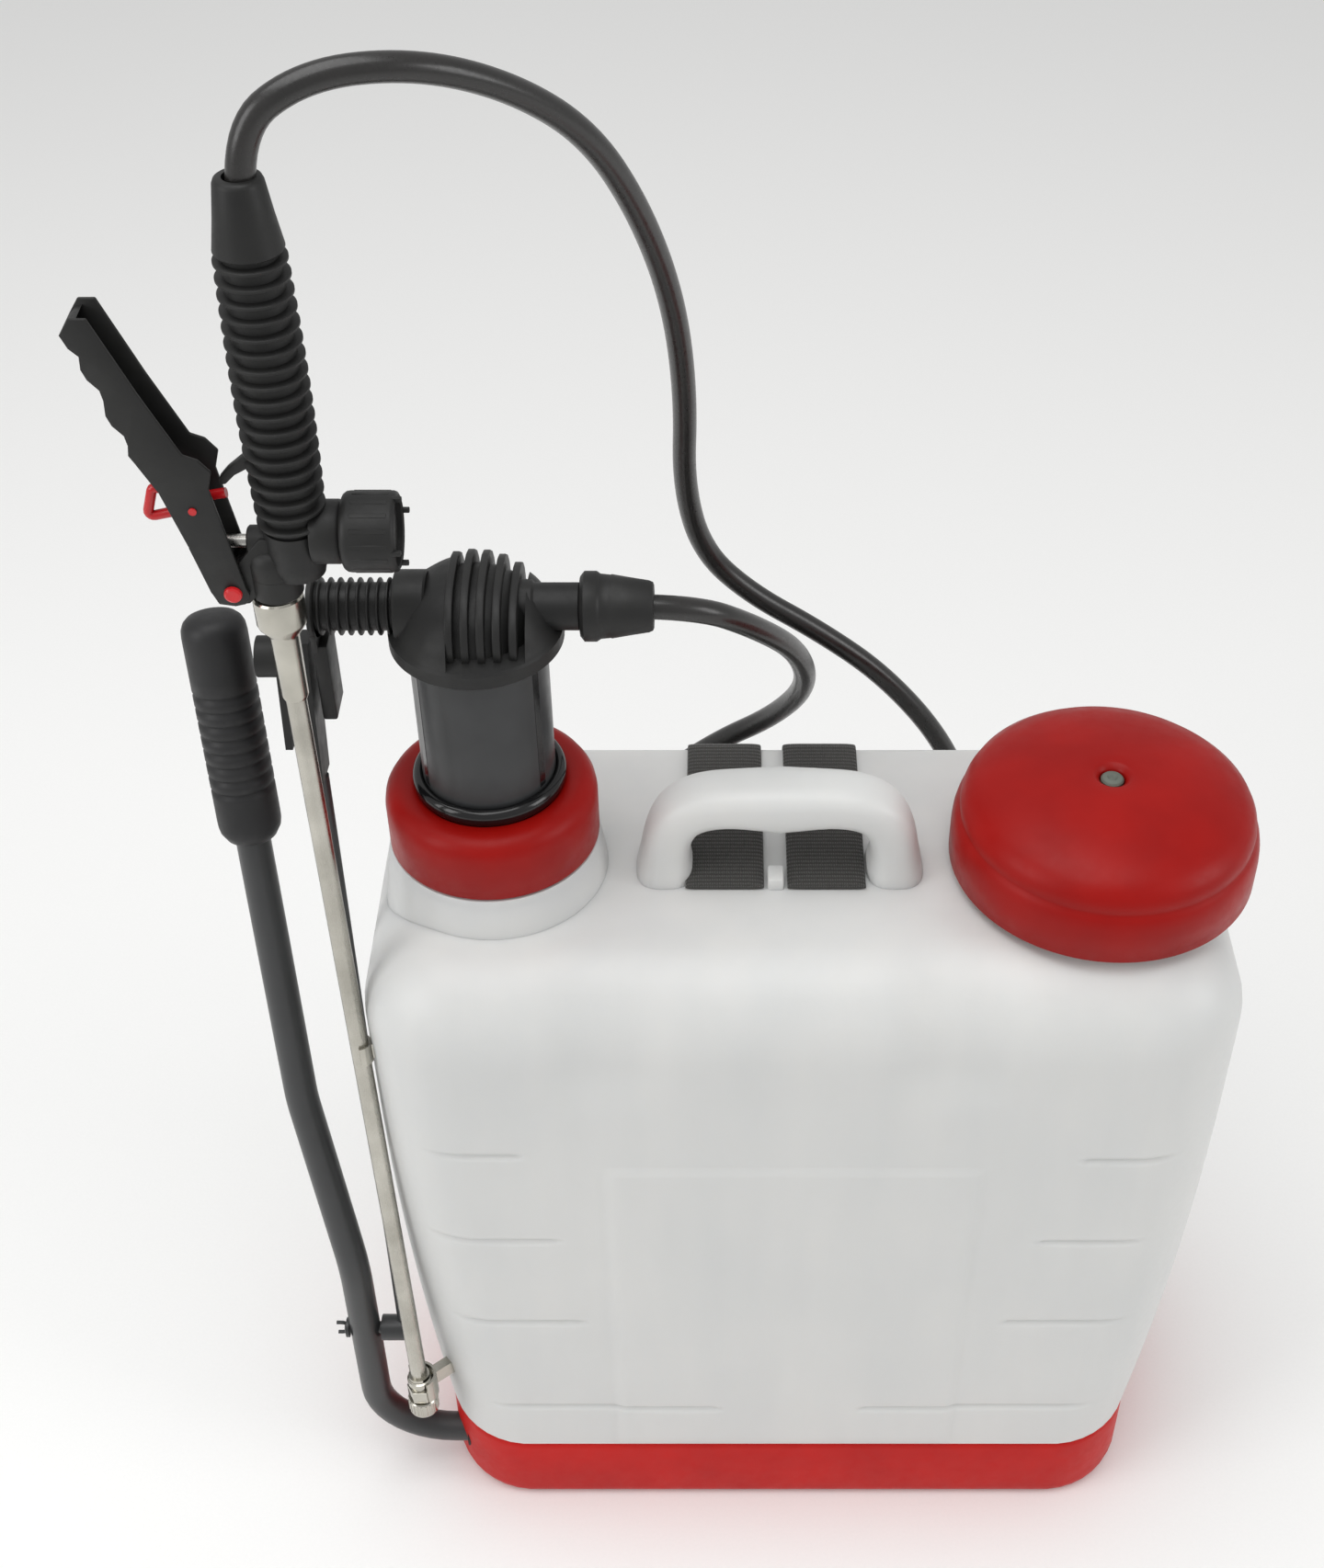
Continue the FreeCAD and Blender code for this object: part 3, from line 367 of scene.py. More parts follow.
def stand(bm, at=(0, 0, 0), along=AXIS_Z):
    """Turns a shape made along Z to another direction, and moves it."""
    turn = AXIS_Z.rotation_difference(Vector(along).normalized()).to_matrix().to_4x4()
    bmesh.ops.transform(bm, matrix=Matrix.Translation(at) @ turn, verts=bm.verts)
    return bm


def spin(bm, angle):
    """Turns a shape about the Z axis."""
    bmesh.ops.rotate(bm, cent=(0, 0, 0), matrix=Matrix.Rotation(angle, 3, "Z"), verts=bm.verts)
    return bm


def merge(bm, *others):
    """Adds the other shapes to bm as further closed shells."""
    for other in others:
        spare = bpy.data.meshes.new("spare")
        other.to_mesh(spare)
        other.free()
        bm.from_mesh(spare)
        bpy.data.meshes.remove(spare)
    return bm


def box(low, high, offset=0.0, segments=2):
    bm = bmesh.new()
    middle = [(a + b) / 2 for a, b in zip(low, high)]
    size = [b - a for a, b in zip(low, high)]
    matrix = Matrix.Translation(middle) @ Matrix.Diagonal((*size, 1))
    bmesh.ops.create_cube(bm, size=1, matrix=matrix)
    if offset:
        soften(bm, offset, segments)
    return bm


def plate(corners, low, high, plane="XZ", offset=0.0):
    """A flat outline given depth: XZ outlines grow along Y, YZ outlines along X, XY along Z."""
    bm = bmesh.new()
    spots = {"XZ": lambda a, b, c: (a, c, b), "YZ": lambda a, b, c: (c, a, b),
             "XY": lambda a, b, c: (a, b, c)}[plane]
    face = bm.faces.new([bm.verts.new(spots(a, b, low)) for a, b in corners])
    grown = bmesh.ops.extrude_face_region(bm, geom=[face])["geom"]
    shift = Vector(spots(0, 0, high - low))
    bmesh.ops.translate(bm, vec=shift, verts=[g for g in grown if isinstance(g, bmesh.types.BMVert)])
    bmesh.ops.recalc_face_normals(bm, faces=bm.faces)
    if offset:
        soften(bm, offset)
    return bm


def bent(points, radii, step=6):
    """Middle line of a bent bar: straight runs with a round bend at each inner corner."""
    points = [Vector(p) for p in points]
    line = [points[0]]
    for corner, before, after, radius in zip(points[1:], points, points[2:], radii):
        back = (before - corner).normalized()
        ahead = (after - corner).normalized()
        half = back.angle(ahead) / 2
        reach = radius / math.tan(half)
        centre = corner + (back + ahead).normalized() * (radius / math.sin(half))
        start = corner + back * reach - centre
        axis = start.cross(corner + ahead * reach - centre)
        turn = math.pi - 2 * half
        count = max(3, round(radius * turn / step))
        line += [centre + Matrix.Rotation(turn * k / count, 3, axis) @ start
                 for k in range(count + 1)]
    line.append(points[-1])
    return line


def squared(share, power):
    """A share from -1 to 1, pushed towards its ends by a power under 1."""
    return math.copysign(abs(share) ** power, share)


def sweep(line, radii, segments=24, section=(1, 1, 1, 1)):
    """A bar along a line; radii is one radius or one for each point. The section stretches the
    ring across and up, and powers under 1 square it off."""
    wide, tall, wide_power, tall_power = section
    bm = bmesh.new()
    line = [Vector(p) for p in line]
    if not hasattr(radii, "__len__"):
        radii = [radii] * len(line)
    heading = (line[1] - line[0]).normalized()
    turn = AXIS_Z.rotation_difference(heading)
    previous = None
    for k, (point, radius) in enumerate(zip(line, radii)):
        ahead = (line[min(k + 1, len(line) - 1)] - line[max(k - 1, 0)]).normalized()
        turn = heading.rotation_difference(ahead) @ turn
        heading = ahead
        matrix = Matrix.Translation(point) @ turn.to_matrix().to_4x4()
        end = k in (0, len(line) - 1)
        made = bmesh.ops.create_circle(bm, cap_ends=end, segments=segments, radius=radius,
                                       matrix=matrix)
        for vert in made["verts"]:
            local = (matrix.inverted() @ vert.co) / radius
            vert.co = matrix @ Vector((squared(local.x, wide_power) * wide * radius,
                                       squared(local.y, tall_power) * tall * radius, 0))
        ring = list({e for v in made["verts"] for e in v.link_edges})
        if previous:
            bmesh.ops.bridge_loops(bm, edges=previous + ring)
        previous = ring
    bmesh.ops.recalc_face_normals(bm, faces=bm.faces)
    return bm


def piece(name, bm, material, body, nodes=(), sharp=32):
    """The finished object, in metres, riding on its body in place of its plain nodes."""
    bmesh.ops.scale(bm, vec=(MM, MM, MM), verts=bm.verts)
    bmesh.ops.recalc_face_normals(bm, faces=bm.faces)
    mesh = bpy.data.meshes.new(name)
    bm.to_mesh(mesh)
    bm.free()
    mesh.shade_smooth()
    mesh.set_sharp_from_angle(angle=math.radians(sharp))
    mesh.materials.append(material)
    made = bpy.data.objects.new(name, mesh)
    bpy.context.scene.collection.objects.link(made)
    if body:
        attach(made, body)
    if nodes:
        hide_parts(*nodes)
    return made


def between(value, low, high, soft):
    """1 between low and high, 0 outside, with soft edges."""
    def rise(distance):
        share = min(max(distance / soft + 0.5, 0), 1)
        return share * share * (3 - 2 * share)
    return rise(value - low) * rise(high - value)


# ---------------------------------------------------------------- hose

HOSE_ROUTE = [
    (-190, -38, 700), (-190, -38, 730), (-167, -31, 746), (-134, -19, 745), (-105, 1, 729),
    (-81, 22, 703), (-65, 44, 663), (-54, 66, 615), (-50, 84, 562), (-52, 100, 508),
    (-44, 110, 466), (-22, 113, 440), (10, 114, 418), (42, 116, 390), (72, 117, 350),
    (90, 118, 304), (82, 120, 258), (50, 121, 226), (8, 122, 214), (-36, 121, 220),
    (-72, 120, 244), (-84, 119, 284), (-68, 117, 322), (-38, 112, 352), (-10, 98, 380),
    (4, 76, 416), (-2, 50, 456), (-22, 20, 492), (-46, 0, 517), (-76, 0, 517),
]


def hose_line():
    """Points along the smooth curve that the route's points control, in metres."""
    curve = bpy.data.curves.new("hose_route", "CURVE")
    curve.dimensions = "3D"
    curve.resolution_u = 10
    spline = curve.splines.new("NURBS")
    spline.points.add(len(HOSE_ROUTE) - 1)
    for point, (x, y, z) in zip(spline.points, HOSE_ROUTE):
        point.co = (x * MM, y * MM, z * MM, 1)
    spline.order_u = 3
    spline.use_endpoint_u = True
    carrier = bpy.data.objects.new("hose_route", curve)
    mesh = bpy.data.meshes.new_from_object(carrier)
    line = [v.co.copy() for v in mesh.vertices]
    bpy.data.objects.remove(carrier)
    bpy.data.meshes.remove(mesh)
    return line


def make_hose():
    line = hose_line()
    bm = sweep([p / MM for p in line], HOSE_DIAMETER / 2, segments=28)
    hose = piece("hose_tube", bm, HOSE_PLASTIC, None, sharp=60)
    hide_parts("hose")
    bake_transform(hose)


# ---------------------------------------------------------------- tank

CORNER_STEPS = 10
FRONT_CUTS = 118
SIDE_CUTS = 14
PANEL_SIDES = (-86, 79)
PANEL_LEVELS = (46, 272)
PANEL_RISE = 1.5
VALLEY_DEPTH = 4.4
GROOVE_DEPTH = 1.7
GROOVE_HALF_WIDTH = 1.7
# Shallow moulded lines on the front: level, from x, to x
GROOVES = [(281, -158, -124), (220, -163, -111), (156, -158, -101), (84, -145, -37),
           (278, 124, 160), (219, 110, 152), (156, 99, 153), (84, 34, 146)]


def tank_ring(bm, half_x, half_y, radius, level, shift=0.0, front_cuts=FRONT_CUTS,
              side_cuts=SIDE_CUTS):
    """Level rounded rectangle: a circle pulled apart into four corners, then subdivided."""
    count = 4 * CORNER_STEPS
    matrix = Matrix.Translation((0, 0, level)) @ Matrix.Rotation(math.pi / count, 4, "Z")
    ring = bmesh.ops.create_circle(bm, cap_ends=False, segments=count, radius=radius, matrix=matrix)
    for vert in ring["verts"]:
        vert.co.x += math.copysign(half_x - radius, vert.co.x)
        vert.co.y += math.copysign(half_y - radius, vert.co.y)
    edges = list({e for v in ring["verts"] for e in v.link_edges})
    crossing = [e for e in edges if e.verts[0].co.x * e.verts[1].co.x < 0]
    sides = [e for e in edges if e.verts[0].co.y * e.verts[1].co.y < 0]
    bmesh.ops.subdivide_edges(bm, edges=crossing, cuts=front_cuts)
    bmesh.ops.subdivide_edges(bm, edges=sides, cuts=side_cuts)
    edges = [e for e in bm.edges if not e.link_faces]
    verts = list({v for e in edges for v in e.verts})
    bmesh.ops.translate(bm, vec=(0, shift, 0), verts=verts)
    return edges


def tank_half_width(level):
    """The side walls lean out from the base up to WIDEST_LEVEL and stand upright above it."""
    share = (min(level, WIDEST_LEVEL) - BASE_HEIGHT) / (WIDEST_LEVEL - BASE_HEIGHT)
    return BASE_HALF_WIDTH + (TANK_HALF_WIDTH - BASE_HALF_WIDTH) * share * (2 - share)


def shoulder_inset(level):
    """How far the quarter round shoulder has drawn in at a level."""
    rise = max(level - (TANK_TOP - SHOULDER), 0) / SHOULDER
    return SHOULDER * (1 - math.sqrt(max(1 - rise * rise, 0)))


def front_relief(x, level):
    """How far the front stands out: centre panel, its grooves, and the valleys by the handle."""
    edge = 5
    panel = PANEL_RISE * between(x, *PANEL_SIDES, edge) * between(level, *PANEL_LEVELS, edge)
    groove = sum(math.exp(-((level - z) / GROOVE_HALF_WIDTH) ** 2) * between(x, low, high, edge)
                 for z, low, high in GROOVES)
    fade = between(level, 322, 420, 30)
    valleys = between(x, 44, 84, 26) + 0.8 * between(x, -104, -64, 26)
    return panel - GROOVE_DEPTH * groove - VALLEY_DEPTH * fade * valleys


def tank_levels():
    """Levels of the skin's rings, closer together at the grooves and over the shoulder."""
    levels = {BASE_HEIGHT + 0.0, 53.0, 330.0, 336.0}
    levels |= {float(z) for z in range(58, 330, 7)}
    for groove in {g[0] for g in GROOVES}:
        levels |= {groove + d for d in (-3.6, -2.4, -1.2, 0, 1.2, 2.4, 3.6)}
    levels |= {268.0, 270.0, 272.0, 274.0, 276.0}
    levels |= {TANK_TOP - SHOULDER + SHOULDER * math.sin(math.radians(7.5 * k)) for k in range(13)}
    return sorted(levels)


def make_tank_skin():
    """Level rings joined from the base up over the shoulder, then pushed out by the relief."""
    bm = bmesh.new()
    previous = None
    for level in tank_levels():
        inset = shoulder_inset(level)
        ring = tank_ring(bm, tank_half_width(level) - inset,
                         HALF_DEPTH - (1 + REAR_SHARE) / 2 * inset, CORNER - inset, level,
                         (1 - REAR_SHARE) / 2 * inset)
        if previous:
            bmesh.ops.bridge_loops(bm, edges=previous + ring)
        else:
            bmesh.ops.contextual_create(bm, geom=ring)
        previous = ring
    front = -HALF_DEPTH
    for vert in bm.verts:
        x, y, z = vert.co
        inset = shoulder_inset(z)
        near = between(y, -400, front + inset + 9, 12)
        if near > 0 and z > BASE_HEIGHT + 1:
            vert.co.y -= near * front_relief(x, z)
    bmesh.ops.contextual_create(bm, geom=previous)
    return bm


def handle_line():
    """Middle line of the carrying handle: two legs and a flat top, as a squared arch."""
    line = []
    count = 48
    for k in range(count + 1):
        angle = math.pi * k / count
        line.append(Vector((HANDLE_MIDDLE - 50 * squared(math.cos(angle), 0.42), HANDLE_Y,
                            364 + 53 * math.sin(angle) ** 0.5)))
    return [line[0] - AXIS_Z * 6] + line[1:-1] + [line[-1] - AXIS_Z * 6]


def make_handle():
    """Bulky bar with rounded corners; two finger arches leave the underside's middle lower."""
    line = handle_line()
    radii = []
    for point in line:
        across = abs(point.x - HANDLE_MIDDLE)
        leg = between(point.z, 300, 390, 24)
        foot = math.exp(-((point.z - 377) / 7) ** 2)
        radii.append(10.2 + 0.8 * math.exp(-(across / 13) ** 2) + 0.8 * leg + 1.6 * foot)
    bm = sweep(line, radii, 32, (1, 1.25, 0.72, 0.66))
    for vert in bm.verts:
        dip = math.exp(-((vert.co.x - HANDLE_MIDDLE) / 15) ** 2)
        if vert.co.z < 412:
            vert.co.z -= 1.6 * dip
    return bm


def make_tank():
    skin = make_tank_skin()
    neck = lathe([(NECK_BORE, TANK_TOP + 0.4), (NECK_RADIUS, TANK_TOP + 0.4), (NECK_RADIUS, 394),
                  (44, 397), (41.8, NECK_TOP), (41.8, 413), (40.8, 414), (NECK_BORE, 414)],
                 closed=True)
    stand(neck, (PUMP_X, 0, 0))
    thread = []
    for k in range(3):
        turn = 381 + 8 * k
        thread += [(MOUTH_RADIUS, turn), (58.6, turn + 1.2), (58.6, turn + 3),
                   (MOUTH_RADIUS, turn + 4.2)]
    mouth = lathe([(MOUTH_BORE, TANK_TOP + 0.5), (MOUTH_RADIUS, TANK_TOP + 0.5)] + thread
                  + [(MOUTH_RADIUS, 407), (56, 408), (MOUTH_BORE, 408)], closed=True)
    stand(mouth, (LID_X, 0, 0))
    post = box((-15.5, -18, 372), (-8.5, -8, 384), 1.2)
    collar_foot = lathe([(NECK_BORE, 330), (53, 330), (51.6, 348), (50.2, 362), (48.6, 374),
                         (47.2, 384), (46, 392), (45.2, 396), (NECK_RADIUS, NECK_TOP),
                         (NECK_BORE, NECK_TOP)], closed=True)
    stand(collar_foot, (PUMP_X, 0, 0))
    merge(skin, neck, mouth, post, collar_foot, make_handle())
    piece("tank_shell", skin, TANK_PLASTIC, "tank", ["tank_body"], 40)


def make_base():
    """Tray with a rounded lower edge, and a small step where the tank sits in it."""
    bm = bmesh.new()
    previous = None
    for level, inset in ((0, 7), (0.6, 4.6), (2.4, 2.2), (5, 0.8), (9, 0), (45, 0), (47.4, 0.3),
                         (49.2, 1.2), (50, 2.6)):
        ring = tank_ring(bm, BASE_HALF_WIDTH - inset, HALF_DEPTH - inset, CORNER - inset, level,
                         front_cuts=30, side_cuts=6)
        if previous:
            bmesh.ops.bridge_loops(bm, edges=previous + ring)
        else:
            bmesh.ops.contextual_create(bm, geom=ring)
        previous = ring
    bmesh.ops.contextual_create(bm, geom=previous)
    piece("base_tray", bm, BASE_RED, "tank", ["base"], 40)


# ---------------------------------------------------------------- lid and pump

def make_lid():
    """Deep screw lid: a crease runs round it where the wall turns into the crown."""
    bm = lathe([(5.6, 412), (57, 412), (60.6, 409), (60.6, 382.6), (61.2, 382), (65, 382), (66, 383),
                (66, 396), (65.7, 400), (65, 403.4), (63.9, 405.8), (63, 406.8), (62.8, 407.6),
                (63, 409), (62.6, 412), (60.6, 416), (56, 420), (48, 423.6), (38, 426.2), (26, 428),
                (14, 428.8), (9, 428.8), (7.6, 428.4), (6.4, 427), (5.6, 426.2)],
               closed=True, steps=128)
    stand(bm, (LID_X, 0, 0))
    piece("fill_cap", bm, CAP_RED, "lid", ["fill_lid"], 50)
    vent = lathe([(0, 406), (9, 406), (9, 411.6), (4.9, 411.8), (4.9, 426.2), (4.2, 427),
                  (2.4, 427.4), (1.4, 426.4), (0, 426.4)], steps=48)
    stand(vent, (LID_X, 0, 0))
    piece("cap_vent", vent, VENT_GREY, "lid", ["lid_vent_valve"])


def make_pump_collar():
    """Screw collar over the pump's neck, and the polished ring that guides the chamber."""
    bm = lathe([(42.1, 398), (44.2, 398), (45, 398.8), (45, 419), (44.4, 422.6), (42.6, 425.6),
                (40, 427.4), (37.6, 428), (32.6, 428), (31.4, 427.4), (31.4, 422.4), (42.1, 422.4)],
               closed=True, steps=128)
    stand(bm, (PUMP_X, 0, 0))
    piece("pump_collar", bm, CAP_RED, "tank", ["pump_ring_nut"], 45)
    guide = lathe([(28.1, 419), (39.6, 419), (39.6, 422), (31.3, 422), (31.3, 427.6), (32, 428.6),
                   (32.4, 431.2), (32.2, 432.8), (31.2, 434.2), (29.6, 435), (28.6, 434.8),
                   (28.1, 434)], closed=True, steps=112)
    stand(guide, (PUMP_X, 0, 0))
    piece("pump_guide_ring", guide, GLOSS_BLACK, "tank", ["pump_guide"], 50)


def make_chamber():
    """The chamber's wall, with four polished strips let into it."""
    inner, outer = 25, 27.9
    bm = lathe([(inner, CHAMBER_LOW), (outer, CHAMBER_LOW), (outer, CHAMBER_TOP), (inner, CHAMBER_TOP)],
               closed=True)
    stand(bm, (PUMP_X, 0, 0))
    piece("chamber_wall", bm, CHAMBER_PLASTIC, "pump", ["pressure_chamber"], 40)
    strips = bmesh.new()
    for side in (-150, -32, 32, 150):
        angle = math.radians(side)
        strip = box((-1.8, -0.35, 436), (1.8, 0.03, CHAMBER_TOP - 0.5), 0.05, 1)
        spin(strip, angle - math.pi / 2)
        seat = outer + 0.05
        stand(strip, (PUMP_X + seat * math.cos(angle), seat * math.sin(angle), 0))
        merge(strips, strip)
    piece("chamber_strips", strips, GLOSS_BLACK, "pump", ())


FIN_OUTLINE = [(-27, 506), (27, 506), (28.6, 511), (28.8, 516), (27.2, 522), (23.6, 527.6),
               (18.6, 531.6), (12, 534.2), (5, 535.2), (-5, 535.2), (-12, 534.2), (-18.6, 531.6),
               (-23.6, 527.6), (-27.2, 522), (-28.8, 516), (-28.6, 511)]


def kept_side(bm, across, side):
    """Keep what lies past an upright plane on one side of it, and close the cut."""
    geometry = bm.verts[:] + bm.edges[:] + bm.faces[:]
    made = bmesh.ops.bisect_plane(bm, geom=geometry, plane_co=(across, 0, 0), plane_no=(side, 0, 0),
                                  clear_inner=True)
    rim = [item for item in made["geom_cut"] if isinstance(item, bmesh.types.BMEdge)]
    bmesh.ops.contextual_create(bm, geom=rim)
    return bm


def make_pump_head():
    """Flange and full dome; between the dome's two caps a smaller core stands behind five fins."""
    cap = [(0, 506), (34, 506), (34.2, 509.4), (33, 510.6), (31.6, 514), (29, 519), (25.6, 523.6),
           (21, 527.6), (15.6, 530.4), (8, 532.2), (0, 532.6)]
    head = lathe([(0, 502), (34.2, 502), (35, 502.8), (35, 508.4), (34.2, 509.4), (30.6, 510),
                  (26.4, 511), (25.4, 515.4), (24, 519), (21.6, 522.6), (18.4, 525.4), (14, 528.4),
                  (8, 530.4), (0, 531)], steps=96)
    pitch, thick = 6.1, 3.1
    for k in range(5):
        low = -9.1 + pitch * k
        middle = low + thick / 2
        rise = math.sqrt(1 - (middle / 30) ** 2)
        reach = 0.45 + 0.55 * rise
        fin = [(y * reach, 502 + (z - 502) * rise) for y, z in FIN_OUTLINE]
        merge(head, plate(fin, low, low + thick, "YZ", 0.5))
    merge(head, kept_side(lathe(cap, steps=96), -8.8, -1), kept_side(lathe(cap, steps=96), 21.4, 1))
    outlet = stand(lathe([(0, 0), (10.6, 0), (10.6, 6), (9.5, 7), (9.5, 24.4), (8.8, 25), (0, 25)],
                         steps=48), (17, 0, OUTLET_LEVEL), PLUS_X)
    merge(head, outlet)
    stand(head, (PUMP_X, 0, 0))
    piece("finned_pump_head", head, DARK_PLASTIC, "pump", ["pump_head"], 35)


def ribs(root_low, root_high, rib, length, count, lip=0.3, belly=0):
    """Outline of a ribbed bar from one end to the other, starting and ending on its middle line;
    belly is how much stouter its middle is."""
    pitch = length / count
    outline = [(0, 0)]
    for k in range(count):
        share = k / (count - 1)
        root = root_low + (root_high - root_low) * share + belly * math.sin(math.pi * share)
        start = pitch * k
        outline += [(root, start + 0.02), (root, start + pitch * 0.34),
                    (root + rib - lip, start + pitch * 0.4), (root + rib, start + pitch * 0.46),
                    (root + rib, start + pitch * 0.6), (root + rib - lip, start + pitch * 0.66),
                    (root, start + pitch * 0.72)]
    return outline + [(root_high, length), (0, length)]


def make_arm():
    """Union, ribbed bar and elbow plate, which carries the link's head."""
    union = lathe([(0, 0), (13.9, 0), (14.7, 0.8), (14.7, 11.4), (14.2, 12.6), (13, 13), (0, 13)],
                  steps=72)
    stand(union, (PUMP_X - 18, 0, OUTLET_LEVEL), MINUS_X)
    piece("arm_union_ring", union, DARK_PLASTIC, "pump", ["arm_union"], 40)
    arm = stand(lathe(ribs(9.6, 9.6, 1.9, 31, 8), steps=64), (PUMP_X - 31, 0, OUTLET_LEVEL), MINUS_X)
    piece("ribbed_arm_bar", arm, DARK_PLASTIC, "pump", ["ribbed_arm"], 40)
    disc = stand(lathe([(0, 0), (12.2, 0), (13, 0.6), (13, 2), (12.2, 2.6), (0, 2.6)], steps=56),
                 (-195, 0, OUTLET_LEVEL), MINUS_X)
    web = [(-9, 466), (9, 466), (9, 503.6), (-9, 503.6)]
    neck = [(-9, 500), (9, 500), (10.5, 510), (10.5, 517), (-10.5, 517), (-10.5, 510)]
    merge(disc, plate(web, -197.6, -191.6, "YZ", 1.0), plate(neck, -197.6, -195, "YZ", 0.6))
    piece("arm_elbow_plate", disc, DARK_PLASTIC, "pump", ["arm_elbow"], 40)


def cone_nut(outline, at, along, name, body, node):
    """Hose nut: a round flange under a tapering skirt, bored for the hose."""
    bm = lathe(outline, closed=True, steps=72)
    stand(bm, at, along)
    piece(name, bm, DARK_PLASTIC, body, [node], 40)


def make_hose_nuts():
    cone_nut([(5.15, 0), (12, 0), (13, 0.8), (14, 1.6), (14, 6.4), (13.3, 7.4), (12.9, 8), (12.5, 12),
              (12.7, 12.4), (11.4, 20), (10.3, 27), (9.6, 28.6), (8.6, 29), (5.15, 29)],
             (PUMP_X + 42, 0, OUTLET_LEVEL), PLUS_X, "pump_hose_cone", "pump", "pump_hose_nut")
    cone_nut([(5.15, 0), (9.4, 0), (11.4, 0.4), (12, 1.2), (11.8, 2.4), (10.2, 12), (8.5, 24),
              (7.9, 25.4), (7, 26), (5.15, 26)],
             (GRIP_X, GRIP_Y, 690), AXIS_Z, "lance_hose_cone", "tank", "lance_hose_nut")


# ---------------------------------------------------------------- lever and link

LEVER_ROUTE = [(-114, LEVER_FOOT_Y, 24), (-213.6, LEVER_FOOT_Y, 24), (-212.8, LEVER_FOOT_Y, 165),
               (-229, -36, 262), (-243.2, 18.5, 485)]
LEVER_RADII = [38, 90, 120]


def make_lever():
    """Bent tube, and a grip with shallow grooves round its middle."""
    line = bent(LEVER_ROUTE, LEVER_RADII)
    piece("lever_bar", sweep(line, LEVER_RADIUS, 32), PAINTED_STEEL, "lever", ["lever_tube"],
          50)
    top = Vector(LEVER_ROUTE[-1])
    lean = (top - Vector(LEVER_ROUTE[-2])).normalized()
    outline = [(7.4, 0), (10, 0), (10.7, 0.6), (12.9, 4.4), (13.4, 7), (13.5, 10), (13.5, 22)]
    for k in range(8):
        start = 24 + 6.4 * k
        outline += [(13.5, start), (12.6, start + 0.9), (12.6, start + 1.7), (13.5, start + 2.6)]
    outline += [(13.5, 78), (13.5, 95), (13.2, 98), (12.2, 100.4), (10.4, 102.2), (7.6, 103.3),
                (4, 103.8), (0, 104)]
    grip = lathe(outline + [(0, 92), (7.4, 92)], closed=True, steps=72)
    stand(grip, top - lean * 91, lean)
    piece("lever_handgrip", grip, GRIP_PLASTIC, "lever", ["lever_grip"], 45)


def make_pins():
    """Link pin through the lever, and the split pin that holds it."""
    pin = lathe([(0, 0), (4.6, 0), (5.5, 0.8), (5.5, 1.6), (5, 2), (2.98, 2), (2.98, 34.8), (2.4, 35.3),
                 (0, 35.3)], steps=40)
    stand(pin, (-187.9, LEVER_FOOT_Y, PIN_LEVEL), MINUS_X)
    piece("link_pin_bolt", pin, PAINTED_STEEL, "lever", ["link_pin"])
    prongs = bmesh.new()
    for side in (-1, 1):
        prong = [(-221.6, 2.6), (-223.5, 3.8), (-225.4, 4.0), (-227, 4.0)]
        line = [(x, LEVER_FOOT_Y, PIN_LEVEL + spread * side) for x, spread in prong]
        merge(prongs, sweep(line, 0.95, 12))
    ring = lathe([(3.05, 0), (5, 0), (5, 1.5), (3.05, 1.5)], closed=True, steps=32)
    merge(prongs, stand(ring, (-220.8, LEVER_FOOT_Y, PIN_LEVEL), MINUS_X))
    piece("split_pin", prongs, PAINTED_STEEL, "lever", ["link_pin_clip"])


# ---------------------------------------------------------------- lance, grip and trigger

LANCE_TOP = Vector((-200, -38, 551))
LANCE_LOW = Vector((-184, -84, 78))
LANCE_RUN = (LANCE_TOP - LANCE_LOW).normalized()
LANCE_LENGTH = (LANCE_TOP - LANCE_LOW).length


def make_lance():
    """Steel tube between its top nut and the nozzle; heights run up from the nozzle's mouth."""
    top = LANCE_LENGTH
    tube = lathe([(2.8, 16), (4, 16), (4, top - 2), (2.8, top - 2)], closed=True, steps=40)
    stand(tube, LANCE_LOW, LANCE_RUN)
    piece("lance_pipe", tube, LANCE_STEEL, "tank", ["lance_tube"])
    nut = lathe([(4.05, top - 46), (4.6, top - 45.6), (5.2, top - 44), (5.6, top - 18),
                 (6.4, top - 16.2), (8.9, top - 13), (9.5, top - 11.4), (9.5, top - 1),
                 (8.9, top - 0.2), (4.05, top - 0.2)], closed=True, steps=56)
    stand(nut, LANCE_LOW, LANCE_RUN)
    piece("lance_top_nut", nut, NICKEL, "tank", ["lance_nut"])
    body = lathe([(2, 7), (4.7, 7), (4.7, 11.8), (5.2, 12), (5.2, 28), (4.05, 28), (4.05, 16),
                  (2, 16)], closed=True, steps=40)
    flats = soften(lathe([(4.6, 12.2), (7, 12.2), (7, 19.8), (4.6, 19.8)], closed=True, steps=6),
                   0.35, 2, 20)
    bead = lathe([(5, 22.5), (6.1, 23), (6.1, 25.4), (5, 26)], closed=True, steps=40)
    stand(merge(body, flats, bead), LANCE_LOW, LANCE_RUN)
    piece("nozzle_holder", body, NICKEL, "tank", ["nozzle_body"])
    cap = lathe([(0.8, 0), (4.6, 0), (5.4, 0.5), (7.1, 2.6), (7.3, 3.4), (7.3, 11), (6.8, 11.6),
                 (5, 11.6), (5, 4), (0.8, 4)], closed=True, steps=48)
    knurls = bmesh.new()
    for k in range(20):
        merge(knurls, spin(box((7.0, -0.45, 3.8), (7.5, 0.45, 10.6), 0.12, 1), math.tau * k / 20))
    stand(merge(cap, knurls), LANCE_LOW, LANCE_RUN)
    piece("nozzle_tip", cap, NICKEL, "nozzle_cap", ["nozzle_cap"])


